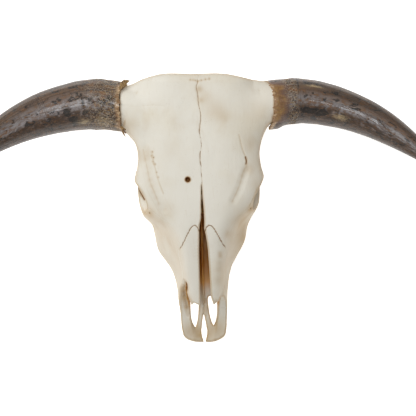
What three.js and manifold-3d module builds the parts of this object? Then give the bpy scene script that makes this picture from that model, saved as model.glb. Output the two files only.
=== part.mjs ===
// A bull's skull without its lower jaw, with its two horn sheaths, lying on its cheek teeth and
// jugular processes. It is modelled whole in the frame of the forehead, parted into its bones by
// thin cuts, and then tilted to rest. Forehead frame, in millimetres: X to the animal's left,
// Y from the nose (0) back to the poll, Z out of the forehead, with the flat of the forehead at
// Z = 0. Forms that come in pairs are given for the left side.
import * as THREE from 'three';
import { mergeVertices } from 'three/addons/utils/BufferGeometryUtils.js';
import Module from 'manifold-3d';

const wasm = await Module();
wasm.setup();

// ---- driving dimensions ----
const SKULL_LENGTH = 496; // tip of the incisive bones to the poll, along the forehead
const REST_TILT = THREE.MathUtils.degToRad(12); // slope of the forehead above the floor
const FLOOR_AT_NOSE = -116.3; // height of the floor under the nose, in the forehead frame
const POLL_LEAN = 0.03; // how much nearer the nose the poll stands for each mm to the left
const SUTURE = 0.4; // gap between neighbouring bones
const FAR = 240; // beyond the bones to either side
const RING_STEP = 28; // spacing of the outer form's rings

const BONES = { colour: 0xdcd6c6, roughness: 0.72 };
const HORN_SHEATH = { colour: 0x4a3a30, roughness: 0.45 };

// Cross-sections of the skull's outer form. Each half section runs through
// roof (0, z), dorsal edge (x, z), upper side (x, z), lower side (x, z), lower margin (x, z) and keel (0, z).
const SECTIONS = [
  //  y,  roof,  dorsal edge,  upper side,  lower side,  lower margin,  keel
  [-4, -78, 18, -79, 32, -83, 38, -90, 27, -99, -97],
  [22, -60, 20, -62, 33, -72, 41, -87, 28, -101, -98],
  [60, -38, 20, -41, 34, -56, 43.6, -82, 30, -106, -101],
  [100, -29, 24, -31, 39, -52, 47, -80, 36, -113, -107],
  [140, -19.5, 29, -22, 46, -52, 59, -88, 49, -129, -116],
  [180, -10.5, 33, -13, 60, -52, 82, -96, 59, -139, -125],
  [215, -3.5, 40, -6, 72, -42, 90.5, -96, 64, -147, -133],
  [240, -1, 50, -4.5, 87, -28, 104, -86, 67, -152, -138],
  [262, 0, 60, -4, 98, -21, 110.5, -85, 67, -157, -142],
  [285, 0, 68, -4, 111, -19, 113, -84, 60, -156, -144],
  [305, 0, 74, -4, 118.5, -23, 112, -80, 46, -142, -143],
  [325, 0, 76, -4, 115.5, -24, 96, -76, 38, -138, -146],
  [350, 0, 78, -4, 113.5, -25, 86, -78, 40, -138, -148],
  [375, 0, 80, -4, 118, -28, 90, -90, 50, -140, -150],
  [400, 0, 84, -5, 124, -34, 102, -108, 66, -146, -154],
  [430, 0, 87, -6, 126, -42, 113, -122, 74, -152, -158],
  [460, 0, 86, -6, 124, -46, 112, -124, 74, -152, -156],
  [510, 0, 82, -6, 118, -46, 104, -118, 66, -146, -150],
];

// The nasal cavity: y, roof, half width, floor.
const CAVITY = [
  [-30, -60, 20, -92],
  [20, -50, 24, -92],
  [60, -44, 26, -94.5],
  [100, -36, 31, -99],
  [140, -26, 34, -107],
  [180, -17, 36, -116],
  [215, -10.5, 30, -112],
  [240, -14, 20, -90],
];

// Ellipsoids: middle, radii, turn about Z and lean about Y in degrees, and facets round.
const ELLIPSOIDS = {
  orbit: { at: [116, 275, -52], radii: [66, 34, 31], turn: -24, lean: 8, facets: 14 },
  // under the zygomatic arch, beside and behind the last molar
  cheekHollow: { at: [118, 296, -144], radii: [52, 72, 43], turn: -8, lean: 0, facets: 12 },
  // at the side of the skull base, between the palate and the braincase
  pterygoidHollow: { at: [70, 330, -150], radii: [36, 46, 40], turn: 0, lean: 0, facets: 10 },
  // the rear end of the nasal passages, behind the palate
  choanae: { at: [0, 312, -150], radii: [17, 30, 44], turn: 0, lean: 0, facets: 10 },
  foramenMagnum: { at: [0, 452, -122], radii: [19, 44, 18], turn: 0, lean: 0, facets: 10 },
  condyle: { at: [32, 446, -143], radii: [20, 24, 26], turn: 30, lean: -14, facets: 9 },
  bulla: { at: [51, 392, -156], radii: [13, 20, 22], turn: 0, lean: 8, facets: 7 },
  jawJoint: { at: [80, 388, -121], radii: [25, 17, 9], turn: 6, lean: 0, facets: 7 },
};

// Bars: the line through their middle, width and height at places evenly along it, steps along
// and facets round.
const BARS = {
  // a channel behind the orbit, between the frontal's edge and the zygomatic arch
  temporalFossa: {
    line: [
      [66, 300, -84], [92, 330, -74], [114, 366, -70],
      [120, 410, -76], [124, 450, -80], [126, 520, -82],
    ],
    sizes: [[38, 40], [70, 54], [98, 66], [104, 60], [106, 60], [104, 60]],
    steps: 7,
    facets: 10,
  },
  zygomaticArch: {
    line: [
      [79, 214, -94], [94, 236, -89], [106, 258, -87], [110, 284, -87],
      [109, 312, -90], [106, 345, -97], [102, 380, -106], [97, 408, -114],
    ],
    sizes: [[14, 14], [13, 20], [13, 22], [13, 28], [12, 24], [12, 22], [14, 20], [18, 18]],
    steps: 8,
    facets: 8,
  },
  // behind the orbit, from the frontal down to the zygomatic arch
  postorbitalBar: {
    line: [[98, 314, -32], [110, 319, -54], [107, 319, -92]],
    sizes: [[30, 16], [19, 12], [28, 12]],
    steps: 3,
    facets: 8,
  },
  jugularProcess: {
    line: [[70, 432, -136], [74, 430, -170], [71, 421, -216]],
    sizes: [[30, 44], [17, 30], [12, 16]],
    steps: 3,
    facets: 8,
  },
  hamulus: {
    line: [[24, 296, -132], [25, 310, -152], [22, 318, -176]],
    sizes: [[5, 38], [4, 24], [4, 9]],
    steps: 3,
    facets: 6,
  },
  // under the braincase, along the middle
  skullKeel: {
    line: [[0, 320, -140], [0, 370, -150], [0, 420, -156], [0, 440, -154]],
    sizes: [[30, 26], [40, 26], [56, 26], [66, 24]],
    steps: 4,
    facets: 8,
  },
};

// Cheek teeth from the second premolar to the third molar: length along the row, and width.
const TEETH = [
  { length: 18, width: 17 },
  { length: 19, width: 20 },
  { length: 19.5, width: 22 },
  { length: 24.5, width: 24 },
  { length: 27, width: 25 },
  { length: 29, width: 24 },
];
const TOOTH_ROW = { start: 134, frontX: 44, backX: 56, gap: 0.6, root: -110, below: -190 };

// The open front of the nose, between the nasal bones and the incisive bones, seen from the side.
const NOSE_OPENING = [
  [-40, 30], [66, 30], [66, -44], [88, -41], [107, -40],
  [100, -54], [84, -66], [62, -76], [38, -83], [12, -88], [-40, -91],
];
// The gap between the two nasal bones, which runs up as a crack into the frontals, seen from above.
const NASAL_GAP = [
  [-0.3, 292], [-1.8, 250], [-4.2, 216], [-5, 205], [-6, 150], [-7.4, 60],
  [15, 60], [13.3, 85], [9, 175], [6, 203], [4, 216], [1.8, 250], [0.3, 292],
];
// The bony points at the ends of the nasal bones; the left bone stands further from the middle.
const NASAL_TIPS = [
  [-60, 50], [-36, 104], [-28, 86], [-23.5, 71], [-18.5, 77], [-12, 73.5], [-7, 72], [0, 80],
  [13.3, 85], [17.6, 71], [22, 75], [27.5, 78], [33, 90], [39, 106], [60, 50],
];
// Half of the cleft between the incisive bones, and the palatine fissure beside it.
const CLEFT = [[-1.5, -10], [-1.2, 7], [-4, 12], [-4.2, 20], [-2.6, 28], [-0.7, 68]];
const FISSURE = { x: 17, y: 59, halfWidth: 8.5, halfLength: 33 };
const MUZZLE = { halfWidth: 41.5, depth: 21, squareness: 0.8 };
// The vomer, an upright plate along the middle of the nasal cavity, seen from the side.
const VOMER = {
  outline: [[70, -97], [92, -88], [140, -78], [232, -60], [232, -122], [140, -112], [70, -103]],
  half: 1.6,
};
const BOLT_HOLE = { x: -25.4, y: 301, radius: 5, depth: 14 };
// The nuchal surface in the middle: height, and distance in front of the poll.
const NUCHAL = [
  [-180, 60], [-150, 54], [-120, 41], [-95, 33], [-70, 18],
  [-45, 7], [-22, 0], [-8, 3], [1, 12], [20, 26],
];

// Regions of the bones. The nasal is given from above and from the side, and the others from the side.
const NASAL = [
  [-1, 210], [5, 208], [16, 217], [30, 195], [43, 173], [40, 140], [35, 104], [40, 40], [-1, 40],
];
const NASAL_DEPTH = [
  [30, -52], [70, -52], [106, -44], [140, -36], [180, -29], [225, -20], [225, 20], [30, 20],
];
const FRONTAL = [
  [160, 20], [160, -22], [196, -19], [222, -17], [252, -23], [262, -56], [320, -58],
  [360, -50], [400, -78], [440, -84], [466, -66], [530, -66], [530, 20],
];
const HORN_CORE = [[350, 20], [350, -100], [530, -100], [530, 20]];
const LACRIMAL = [
  [194, -34], [208, -13], [222, -15], [252, -22], [262, -56],
  [262, -68], [240, -70], [214, -76], [200, -62],
];
const ZYGOMATIC = [
  [212, -86], [214, -76], [240, -70], [262, -68], [290, -66], [296, -50],
  [336, -48], [350, -88], [342, -116], [230, -112],
];
const INCISIVE = [[-30, -150], [56, -150], [64, -104], [86, -70], [104, -46], [112, 0], [-30, 0]];
const MAXILLA = [[40, -220], [40, 30], [290, 30], [290, -220]];
const OCCIPITAL = [
  [540, -66], [466, -66], [446, -108], [410, -146], [392, -150], [372, -156], [372, -240], [540, -240],
];
const TEMPORAL = [[330, 20], [330, -240], [540, -240], [540, 20]];
// how far from the middle each of these side regions starts
const INNER = { hornCore: 116, lacrimal: 30, zygomatic: 80, temporal: 58 };

const HORN = {
  edge: 141, // distance from the middle to the edge of the sheath
  gap: 0.3, // between the bony core and the sheath
  core: 43.5, // radius of the bone at the edge of the sheath
  rings: 15,
  facets: 14,
  // the two horns differ a little: radius of the sheath, how far back it stands, and its turn
  // forwards in degrees
  left: { side: 1, radius: 45.8, back: 0, turn: 4.5 },
  right: { side: -1, radius: 49.5, back: 2.5, turn: 0 },
  // centre line of a horn, from inside the base to the tip
  line: [
    [126, 435, -45],
    [190, 445, -47],
    [248, 438, -41],
    [311, 418, -25],
    [366, 387, 3],
    [408, 352, 45],
    [432, 322, 98],
  ],
};

// ---- small helpers ----
const vector = (p) => new THREE.Vector3(...p);

/** A line of points on one side of the body. */
const onSide = (side, line) => line.map(([x, y, z]) => [side * x, y, z]);

/** A closed geometry as a solid that can be joined and cut. */
function solid(geometry) {
  const bare = geometry.clone();
  for (const name of ['normal', 'uv']) bare.deleteAttribute(name);
  const merged = mergeVertices(bare, 1e-4);
  const mesh = new wasm.Mesh({
    numProp: 3,
    vertProperties: new Float32Array(merged.attributes.position.array),
    triVerts: new Uint32Array(merged.index.array),
  });
  return new wasm.Manifold(mesh);
}

/** Values of a table of stations at a place along it, on a smooth curve. */
function smooth(table) {
  const stations = table.map((row) => row[0]);
  const values = table.flatMap((row) => row.slice(1));
  const size = table[0].length - 1;
  const curve = new THREE.CubicInterpolant(stations, values, size, new Array(size).fill(0));
  return (place) => [...curve.evaluate(place)];
}

/** Places from one end to the other, about a step apart. */
function places(from, to, step) {
  const count = Math.round(Math.abs(to - from) / step);
  return Array.from({ length: count + 1 }, (_, i) => from + ((to - from) * i) / count);
}

/** A closed mesh through rings of points, each end ring capped by its middle. */
function loft(rings) {
  const around = rings[0].length;
  const points = rings.flat();
  const faces = [];
  for (let i = 0; i + 1 < rings.length; i++) {
    for (let j = 0; j < around; j++) {
      const a = i * around + j;
      const b = i * around + ((j + 1) % around);
      faces.push(a, b, b + around, a, b + around, a + around);
    }
  }
  const middle = (ring) => ring.reduce((sum, p) => sum.add(p), new THREE.Vector3()).divideScalar(around);
  const first = points.push(middle(rings[0])) - 1;
  const last = points.push(middle(rings.at(-1))) - 1;
  const end = (rings.length - 1) * around;
  for (let j = 0; j < around; j++) {
    const k = (j + 1) % around;
    faces.push(first, k, j, last, end + j, end + k);
  }
  const geometry = new THREE.BufferGeometry().setFromPoints(points);
  geometry.setIndex(faces);
  return geometry;
}

/** A ring through half a section's key points and their mirror images, at the station y. */
function ring(y, half, parts) {
  const mirrored = half.slice(1, -1).reverse().map(([x, z]) => [-x, z]);
  const keys = [...half, ...mirrored].map(([x, z]) => new THREE.Vector3(x, y, z));
  const curve = new THREE.CatmullRomCurve3(keys, true, 'centripetal');
  const count = keys.length * parts;
  return Array.from({ length: count }, (_, i) => curve.getPoint(i / count));
}

/** An ellipsoid on one side of the body. */
function ellipsoid(side, { at, radii, turn, lean, facets }) {
  const geometry = new THREE.SphereGeometry(1, facets, Math.round(facets * 0.6));
  geometry.rotateX(Math.PI / 2).scale(...radii);
  geometry.rotateY(THREE.MathUtils.degToRad(side * lean)).rotateZ(THREE.MathUtils.degToRad(side * turn));
  const [x, y, z] = at;
  return solid(geometry.translate(side * x, y, z));
}

/** A bar along a curve on one side of the body, with an oval section. */
function bar(side, { line, sizes, steps, facets }) {
  const points = onSide(side, line).map(vector);
  const curve = new THREE.CatmullRomCurve3(points);
  const size = smooth(sizes.map(([w, h], i) => [i / (sizes.length - 1), w / 2, h / 2]));
  const run = points.at(-1).clone().sub(points[0]).normalize();
  const steep = Math.abs(run.z) > 0.7;
  const up = vector(steep ? [0, 1, 0] : [0, 0, 1]);
  const rings = places(0, 1, 1 / steps).map((t) => {
    const along = curve.getTangentAt(t);
    const across = new THREE.Vector3().crossVectors(along, up).normalize();
    const over = new THREE.Vector3().crossVectors(across, along);
    const [w, h] = size(t);
    const middle = curve.getPointAt(t);
    return Array.from({ length: facets }, (_, i) => {
      const a = (i / facets) * 2 * Math.PI;
      return middle.clone().addScaledVector(across, w * Math.cos(a)).addScaledVector(over, -h * Math.sin(a));
    });
  });
  return solid(loft(rings));
}

/** An outline of [x, y] points moved outwards by a small distance. */
function grown(outline, distance) {
  const points = outline.map(([x, y]) => new THREE.Vector2(x, y));
  const turn = THREE.ShapeUtils.isClockWise(points) ? -1 : 1;
  return points.map((p, i) => {
    const before = points.at(i - 1);
    const after = points[(i + 1) % points.length];
    const a = p.clone().sub(before).normalize();
    const b = after.clone().sub(p).normalize();
    const normal = new THREE.Vector2(a.y + b.y, -a.x - b.x).multiplyScalar(turn).normalize();
    const lean = Math.max(0.4, normal.dot(new THREE.Vector2(a.y, -a.x).multiplyScalar(turn)));
    return p.clone().addScaledVector(normal, distance / lean);
  });
}

/** A prism on an outline seen from above, given as [x, y] points. */
function fromAbove(outline, low, high, grow = 0) {
  const shape = new THREE.Shape(grown(outline, grow));
  const geometry = new THREE.ExtrudeGeometry(shape, { depth: high - low, bevelEnabled: false });
  return solid(geometry.translate(0, 0, low));
}

/** A prism on an outline seen from the side, given as [y, z] points. */
function fromSide(outline, left, right, grow = 0) {
  const shape = new THREE.Shape(grown(outline, grow));
  const geometry = new THREE.ExtrudeGeometry(shape, { depth: right - left + 2 * grow, bevelEnabled: false });
  const turned = new THREE.Matrix4().makeBasis(vector([0, 1, 0]), vector([0, 0, 1]), vector([1, 0, 0]));
  return solid(geometry.applyMatrix4(turned).translate(left - grow, 0, 0));
}

/** A block between two corners. */
function block(low, high) {
  const [a, b] = [vector(low), vector(high)];
  const size = b.clone().sub(a);
  const middle = a.clone().add(b).divideScalar(2);
  return solid(new THREE.BoxGeometry(...size).translate(...middle));
}

/** All that lies outward of a place on one side. */
function beyond(side, x) {
  const [near, far] = [side * x, side * 2 * FAR];
  return block([Math.min(near, far), -FAR, -FAR], [Math.max(near, far), 3 * FAR, FAR]);
}

/** The same form on both sides, from a function of the side, 1 on the left and -1 on the right. */
const bothSides = (make) => make(1).add(make(-1));

/** One ellipsoid or bar on both sides, or once in the middle. */
const paired = (make, form) => bothSides((side) => make(side, form));

// ---- the skull as one form ----

function outerForm() {
  const at = smooth(SECTIONS);
  const rings = places(SECTIONS[0][0], SECTIONS.at(-1)[0], RING_STEP).map((y) => {
    const [roof, x1, z1, x2, z2, x3, z3, x4, z4, keel] = at(y);
    return ring(y, [[0, roof], [x1, z1], [x2, z2], [x3, z3], [x4, z4], [0, keel]], 2);
  });
  return solid(loft(rings));
}

function nasalCavity() {
  const at = smooth(CAVITY);
  const rings = places(CAVITY[0][0], CAVITY.at(-1)[0], 2 * RING_STEP).map((y) => {
    const [roof, half, floor] = at(y);
    const middle = (roof + floor) / 2;
    const side = 0.85 * half;
    return ring(y, [[0, roof], [side, roof - 6], [half, middle], [side, floor + 5], [0, floor]], 1);
  });
  return solid(loft(rings));
}

/** All that lies in front of the rounded edge of the two incisive bones. */
function muzzleTrim() {
  const { halfWidth, depth, squareness } = MUZZLE;
  const arc = places(180, 360, 15).map((a) => {
    const angle = THREE.MathUtils.degToRad(a);
    const across = Math.sign(Math.cos(angle)) * Math.abs(Math.cos(angle)) ** squareness;
    return [halfWidth * across, depth + depth * Math.sin(angle)];
  });
  const keep = fromAbove([...arc, [60, 60], [60, 90], [-60, 90], [-60, 60]], -140, 40);
  return block([-70, -30, -140], [70, 80, 40]).subtract(keep);
}

/** The palatine fissures, and the cleft between the two incisive bones. */
function palateOpenings() {
  const { x, y, halfWidth, halfLength } = FISSURE;
  const fissure = (side) => {
    const rim = new THREE.EllipseCurve(side * x, y, halfWidth, halfLength).getPoints(14).slice(0, -1);
    return fromAbove(rim.map((p) => [p.x, p.y]), -130, -60);
  };
  const otherHalf = CLEFT.map(([across, along]) => [-across, along]).reverse();
  return bothSides(fissure).add(fromAbove([...CLEFT, ...otherHalf], -130, -60));
}

/** All that lies behind the nuchal surface, which curves forwards to the sides. */
function nuchalTrim() {
  const [flatHalf, curveHalf, curveDepth] = [56, 58, 15];
  const [behind, above, below] = [560, 20, -180];
  const rings = places(170, -170, 34).map((x) => {
    const out = Math.max(0, Math.abs(x) - flatHalf) / curveHalf;
    const poll = SKULL_LENGTH - curveDepth * out ** 1.6 - POLL_LEAN * x;
    const near = NUCHAL.map(([z, forward]) => new THREE.Vector3(x, poll - forward, z));
    return [...near, new THREE.Vector3(x, behind, above), new THREE.Vector3(x, behind, below)];
  });
  return solid(loft(rings));
}

/** The bony root of a horn, which flares from the frontal bone up to the edge of the sheath. */
function hornRoot(side) {
  const { core, edge, gap, line } = HORN;
  const [, y, z] = line[0];
  const thick = 2 * core;
  const root = bar(side, {
    line: [[60, y - 12, z], [98, y - 8, z], [118, y - 3, z], [edge - 10, y + 2, z], [edge + 4, y + 2, z]],
    sizes: [[116, thick - 20], [122, thick - 12], [106, thick - 6], [thick + 4, thick - 2], [thick, thick]],
    steps: 5,
    facets: 12,
  });
  return root.subtract(beyond(side, edge - gap / 2));
}

function toothRow(side) {
  const { start, frontX, backX, gap, root, below } = TOOTH_ROW;
  const total = TEETH.reduce((sum, tooth) => sum + tooth.length, 0);
  let y = start;
  return TEETH.map((tooth) => {
    const middle = y + tooth.length / 2;
    y += tooth.length;
    const x = THREE.MathUtils.lerp(frontX, backX, ((middle - start) / total) ** 0.8);
    const w = tooth.width / 2;
    const l = tooth.length / 2 - gap / 2;
    // the crown has two lobes towards the middle, with a fold between them
    const inner = [[-w * 0.7, -l], [-w, -l * 0.5], [-w * 0.86, 0], [-w, l * 0.5], [-w * 0.7, l]];
    const outer = [[w * 0.8, l], [w, 0], [w * 0.8, -l]];
    const crown = [...inner, ...outer].map(([across, back]) => [side * (x + across), middle + back]);
    return fromAbove(crown, below, root);
  }).reduce((row, tooth) => row.add(tooth));
}

/** The bolt hole in the right frontal bone. */
function boltHole() {
  const { x, y, radius, depth } = BOLT_HOLE;
  const geometry = new THREE.CylinderGeometry(radius, radius, 2 * depth, 10).rotateX(Math.PI / 2);
  return solid(geometry.translate(x, y, 0));
}

/** Everything under the floor. */
function underFloor() {
  const geometry = new THREE.BoxGeometry(1200, 1200, 200).translate(0, 0, -100);
  return solid(geometry.rotateX(-REST_TILT).translate(0, 0, FLOOR_AT_NOSE));
}

function wholeSkull() {
  const hollows = [
    nasalCavity(),
    fromSide(NOSE_OPENING, -80, 80),
    muzzleTrim(),
    nuchalTrim(),
    palateOpenings(),
    fromAbove(NASAL_TIPS, -48, 10),
    paired(bar, BARS.temporalFossa),
    paired(ellipsoid, ELLIPSOIDS.cheekHollow),
    paired(ellipsoid, ELLIPSOIDS.pterygoidHollow),
  ];
  const joined = [
    paired(bar, BARS.zygomaticArch),
    bothSides(hornRoot),
    bothSides(toothRow),
    paired(ellipsoid, ELLIPSOIDS.condyle),
    paired(ellipsoid, ELLIPSOIDS.bulla),
    paired(ellipsoid, ELLIPSOIDS.jawJoint),
    paired(bar, BARS.jugularProcess),
    paired(bar, BARS.hamulus),
    bar(1, BARS.skullKeel),
  ];
  let skull = outerForm();
  for (const hollow of hollows) skull = skull.subtract(hollow);
  for (const form of joined) skull = skull.add(form);
  skull = skull.subtract(paired(ellipsoid, ELLIPSOIDS.orbit)).add(paired(bar, BARS.postorbitalBar));
  skull = skull.add(fromSide(VOMER.outline, -VOMER.half, VOMER.half)).subtract(fromAbove(NASAL_GAP, -60, 20));
  skull = skull.subtract(ellipsoid(1, ELLIPSOIDS.choanae)).subtract(ellipsoid(1, ELLIPSOIDS.foramenMagnum));
  return skull.subtract(boltHole()).subtract(underFloor());
}

// ---- the skull parted into its bones ----

/** Takes a region out of what is left of the skull, with a suture round it. */
function take(left, region) {
  const piece = left.intersect(region(-SUTURE / 2));
  return [piece, left.subtract(region(SUTURE / 2))];
}

/** The two sides of a paired bone, with the middle suture between them. */
function halves(piece) {
  const middle = SUTURE / 2;
  const [low, high] = [[-60, -260], [560, 60]];
  return {
    left: piece.intersect(block([middle, ...low], [FAR, ...high])),
    right: piece.intersect(block([-FAR, ...low], [-middle, ...high])),
  };
}

/** A region on both sides, outward of a place, from its outline seen from the side. */
function beside(outline, inner) {
  return (grow) => bothSides((side) => {
    const [left, right] = side > 0 ? [inner, FAR] : [-FAR, -inner];
    return fromSide(outline, left, right, grow);
  });
}

function partedBones() {
  const bones = {};
  let rest = wholeSkull();
  const pair = (name, region) => {
    const [piece, left] = take(rest, region);
    const sides = halves(piece);
    bones[`${name}_left`] = sides.left;
    bones[`${name}_right`] = sides.right;
    rest = left;
  };
  const across = (outline) => (grow) => fromSide(outline, -FAR, FAR, grow);
  const nasal = (side, grow) => fromAbove(NASAL.map(([x, y]) => [side * x, y]), -60, 20, grow);
  const nasals = (grow) => bothSides((side) => nasal(side, grow));
  pair('nasal', (grow) => nasals(grow).intersect(fromSide(NASAL_DEPTH, -60, 60, grow)));
  pair('frontal', (grow) => across(FRONTAL)(grow).add(beside(HORN_CORE, INNER.hornCore)(grow)));
  pair('lacrimal', beside(LACRIMAL, INNER.lacrimal));
  pair('zygomatic', beside(ZYGOMATIC, INNER.zygomatic));
  pair('incisive', across(INCISIVE));
  pair('maxilla', across(MAXILLA));
  [bones.occipital, rest] = take(rest, across(OCCIPITAL));
  pair('temporal', beside(TEMPORAL, INNER.temporal));
  bones.sphenoid = rest;
  return bones;
}

// ---- the horns ----

/** How much of its radius a horn keeps at a part t of its length. */
const taper = (t) => Math.max(0.02, 1 - t ** 1.7) ** 0.85;

/** A horn sheath over its core: a solid horn from the edge of the sheath to its tip. */
function horn({ side, radius, back, turn }) {
  const base = new THREE.Vector3(HORN.edge, HORN.line[0][1], 0);
  const forwards = new THREE.Euler(0, 0, THREE.MathUtils.degToRad(-turn));
  const points = HORN.line.map((p) => {
    const turned = vector(p).sub(base).applyEuler(forwards).add(base);
    return new THREE.Vector3(side * turned.x, turned.y + back, turned.z);
  });
  const curve = new THREE.CatmullRomCurve3(points);
  const frames = curve.computeFrenetFrames(HORN.rings, false);
  const rings = frames.tangents.map((_, i) => {
    const t = i / HORN.rings;
    const middle = curve.getPointAt(t);
    return Array.from({ length: HORN.facets }, (__, j) => {
      const a = (j / HORN.facets) * 2 * Math.PI;
      return middle.clone()
        .addScaledVector(frames.normals[i], radius * taper(t) * Math.cos(a))
        .addScaledVector(frames.binormals[i], radius * taper(t) * Math.sin(a));
    });
  });
  return solid(loft(rings)).intersect(beyond(side, HORN.edge + HORN.gap / 2));
}

// ---- the scene ----

function mesh(name, piece, { colour, roughness }) {
  const { vertProperties, triVerts } = piece.getMesh();
  const geometry = new THREE.BufferGeometry();
  geometry.setAttribute('position', new THREE.BufferAttribute(vertProperties, 3));
  geometry.setIndex(new THREE.BufferAttribute(triVerts, 1));
  geometry.computeVertexNormals();
  const surface = new THREE.MeshStandardMaterial({ color: colour, roughness, metalness: 0 });
  const made = new THREE.Mesh(geometry, surface);
  made.name = name;
  return made;
}

const skull = new THREE.Group();
for (const [name, piece] of Object.entries(partedBones())) skull.add(mesh(name, piece, BONES));
skull.add(mesh('horn_left', horn(HORN.left), HORN_SHEATH));
skull.add(mesh('horn_right', horn(HORN.right), HORN_SHEATH));
skull.rotation.x = REST_TILT;
skull.position.z = -FLOOR_AT_NOSE * Math.cos(REST_TILT);

const model = new THREE.Group();
model.add(skull);
model.updateMatrixWorld(true);
const box = new THREE.Box3().setFromObject(skull, true);
skull.position.x -= (box.min.x + box.max.x) / 2;
skull.position.y -= (box.min.y + box.max.y) / 2;

export default model;
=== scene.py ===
"""A bull's skull without its lower jaw, with both horn sheaths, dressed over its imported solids.

Forms are given in the frame of the forehead, in millimetres: X to the animal's left, Y from the
nose (0) back to the poll and Z out of the forehead, whose flat is at Z = 0. Forms that come in
pairs are given for the left side. The bone is worked like clay, as distances to its surface on a
fine grid, then parted along its sutures and turned to rest on its cheek teeth.
"""

import logging
import math
from collections.abc import Callable, Mapping, Sequence
from dataclasses import dataclass, field
from enum import Enum
from typing import Any, ClassVar

import bpy
import numpy as np
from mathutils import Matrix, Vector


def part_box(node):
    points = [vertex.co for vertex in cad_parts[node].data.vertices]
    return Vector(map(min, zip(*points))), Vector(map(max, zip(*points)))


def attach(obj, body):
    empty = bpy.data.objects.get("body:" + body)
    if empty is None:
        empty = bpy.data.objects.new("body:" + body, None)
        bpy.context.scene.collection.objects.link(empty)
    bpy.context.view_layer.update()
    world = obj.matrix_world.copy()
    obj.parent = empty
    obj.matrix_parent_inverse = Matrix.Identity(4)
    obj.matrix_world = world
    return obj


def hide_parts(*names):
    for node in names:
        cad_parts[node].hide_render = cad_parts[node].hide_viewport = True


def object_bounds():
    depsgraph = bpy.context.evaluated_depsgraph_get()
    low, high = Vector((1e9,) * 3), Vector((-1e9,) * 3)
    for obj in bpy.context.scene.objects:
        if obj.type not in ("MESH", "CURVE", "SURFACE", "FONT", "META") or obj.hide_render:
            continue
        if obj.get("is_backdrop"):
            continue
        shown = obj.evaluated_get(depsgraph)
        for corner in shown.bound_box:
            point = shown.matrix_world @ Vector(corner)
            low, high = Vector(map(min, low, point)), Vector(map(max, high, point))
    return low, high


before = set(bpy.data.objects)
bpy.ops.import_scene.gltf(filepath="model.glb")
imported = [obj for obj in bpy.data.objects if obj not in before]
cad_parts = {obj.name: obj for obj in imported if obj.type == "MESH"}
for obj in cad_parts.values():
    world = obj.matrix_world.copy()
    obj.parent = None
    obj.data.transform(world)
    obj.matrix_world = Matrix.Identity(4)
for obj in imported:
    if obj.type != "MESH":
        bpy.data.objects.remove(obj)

import openvdb
from mathutils import Matrix, Vector

CAD_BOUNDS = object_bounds()
LOG = logging.getLogger("skull")

Array = np.ndarray
Outline = Sequence[Sequence[float]]
Window = tuple[slice, slice, slice]
Scale = float | Sequence[float]

# ---- driving dimensions, in millimetres ----
MM = 0.001
SKULL_LENGTH = 496.0
REST_TILT = math.radians(12)
FLOOR_AT_NOSE = -116.3
NOSE_AT = -256.817  # where the forehead frame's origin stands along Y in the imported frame
POLL_LEAN = 0.03
SUTURE = 0.45
FAR = 240.0
GRAIN = 1.35  # spacing of the clay's grid
BAND = 15.0  # how far from a surface the clay knows its distance


# ---- curves, tables and noise ----


def midline() -> float:
    """Finds the skull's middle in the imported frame, between the two frontal bones.

    Returns:
        Its X, in metres.
    """
    left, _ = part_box("frontal_left")
    _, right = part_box("frontal_right")
    return (left.x + right.x) / 2


def to_rest(points: Array) -> Array:
    """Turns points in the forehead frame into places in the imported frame.

    Args:
        points: Rows of x, y and z in millimetres.

    Returns:
        Rows of x, y and z in metres.
    """
    c, s = math.cos(REST_TILT), math.sin(REST_TILT)
    x, y, z = points.T
    lift = -FLOOR_AT_NOSE * c
    return np.stack([x * MM + midline(), (c * y - s * z + NOSE_AT) * MM, (s * y + c * z + lift) * MM], 1)


def floor_below(y: Array) -> Array:
    """The height of the floor in the forehead frame at a place along the skull."""
    return FLOOR_AT_NOSE - math.tan(REST_TILT) * y


def stations(table: Sequence[Sequence[float]], places: Array) -> Array:
    """Reads a table of stations at places along it, on a smooth curve.

    Args:
        table: Rows of a place followed by the values there.
        places: Where the table is read.

    Returns:
        A row of values for each place.
    """
    rows = np.asarray(table, float)
    at, values = rows[:, 0], rows[:, 1:]
    last = len(at) - 2
    i = np.clip(np.searchsorted(at, places, side="right") - 1, 0, last)
    before = np.where(i > 0, at[np.maximum(i - 1, 0)], 2 * at[i] - at[i + 1])
    after = np.where(i < last, at[np.minimum(i + 2, last + 1)], 2 * at[i + 1] - at[i])
    value_before = np.where((i > 0)[:, None], values[np.maximum(i - 1, 0)], values[i + 1])
    value_after = np.where((i < last)[:, None], values[np.minimum(i + 2, last + 1)], values[i])
    span = at[i + 1] - at[i]
    p = ((places - at[i]) / span)[:, None]
    into = (0.5 * span / (at[i] - before))[:, None]
    out = (0.5 * span / (after - at[i + 1]))[:, None]
    return (
        value_before * (-into * p**3 + 2 * into * p**2 - into * p)
        + values[i] * ((1 + into) * p**3 + (-1.5 - 2 * into) * p**2 + (-0.5 + into) * p + 1)
        + values[i + 1] * ((-1 - out) * p**3 + (1.5 + out) * p**2 + 0.5 * p)
        + value_after * (out * p**3 - out * p**2)
    )


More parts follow.
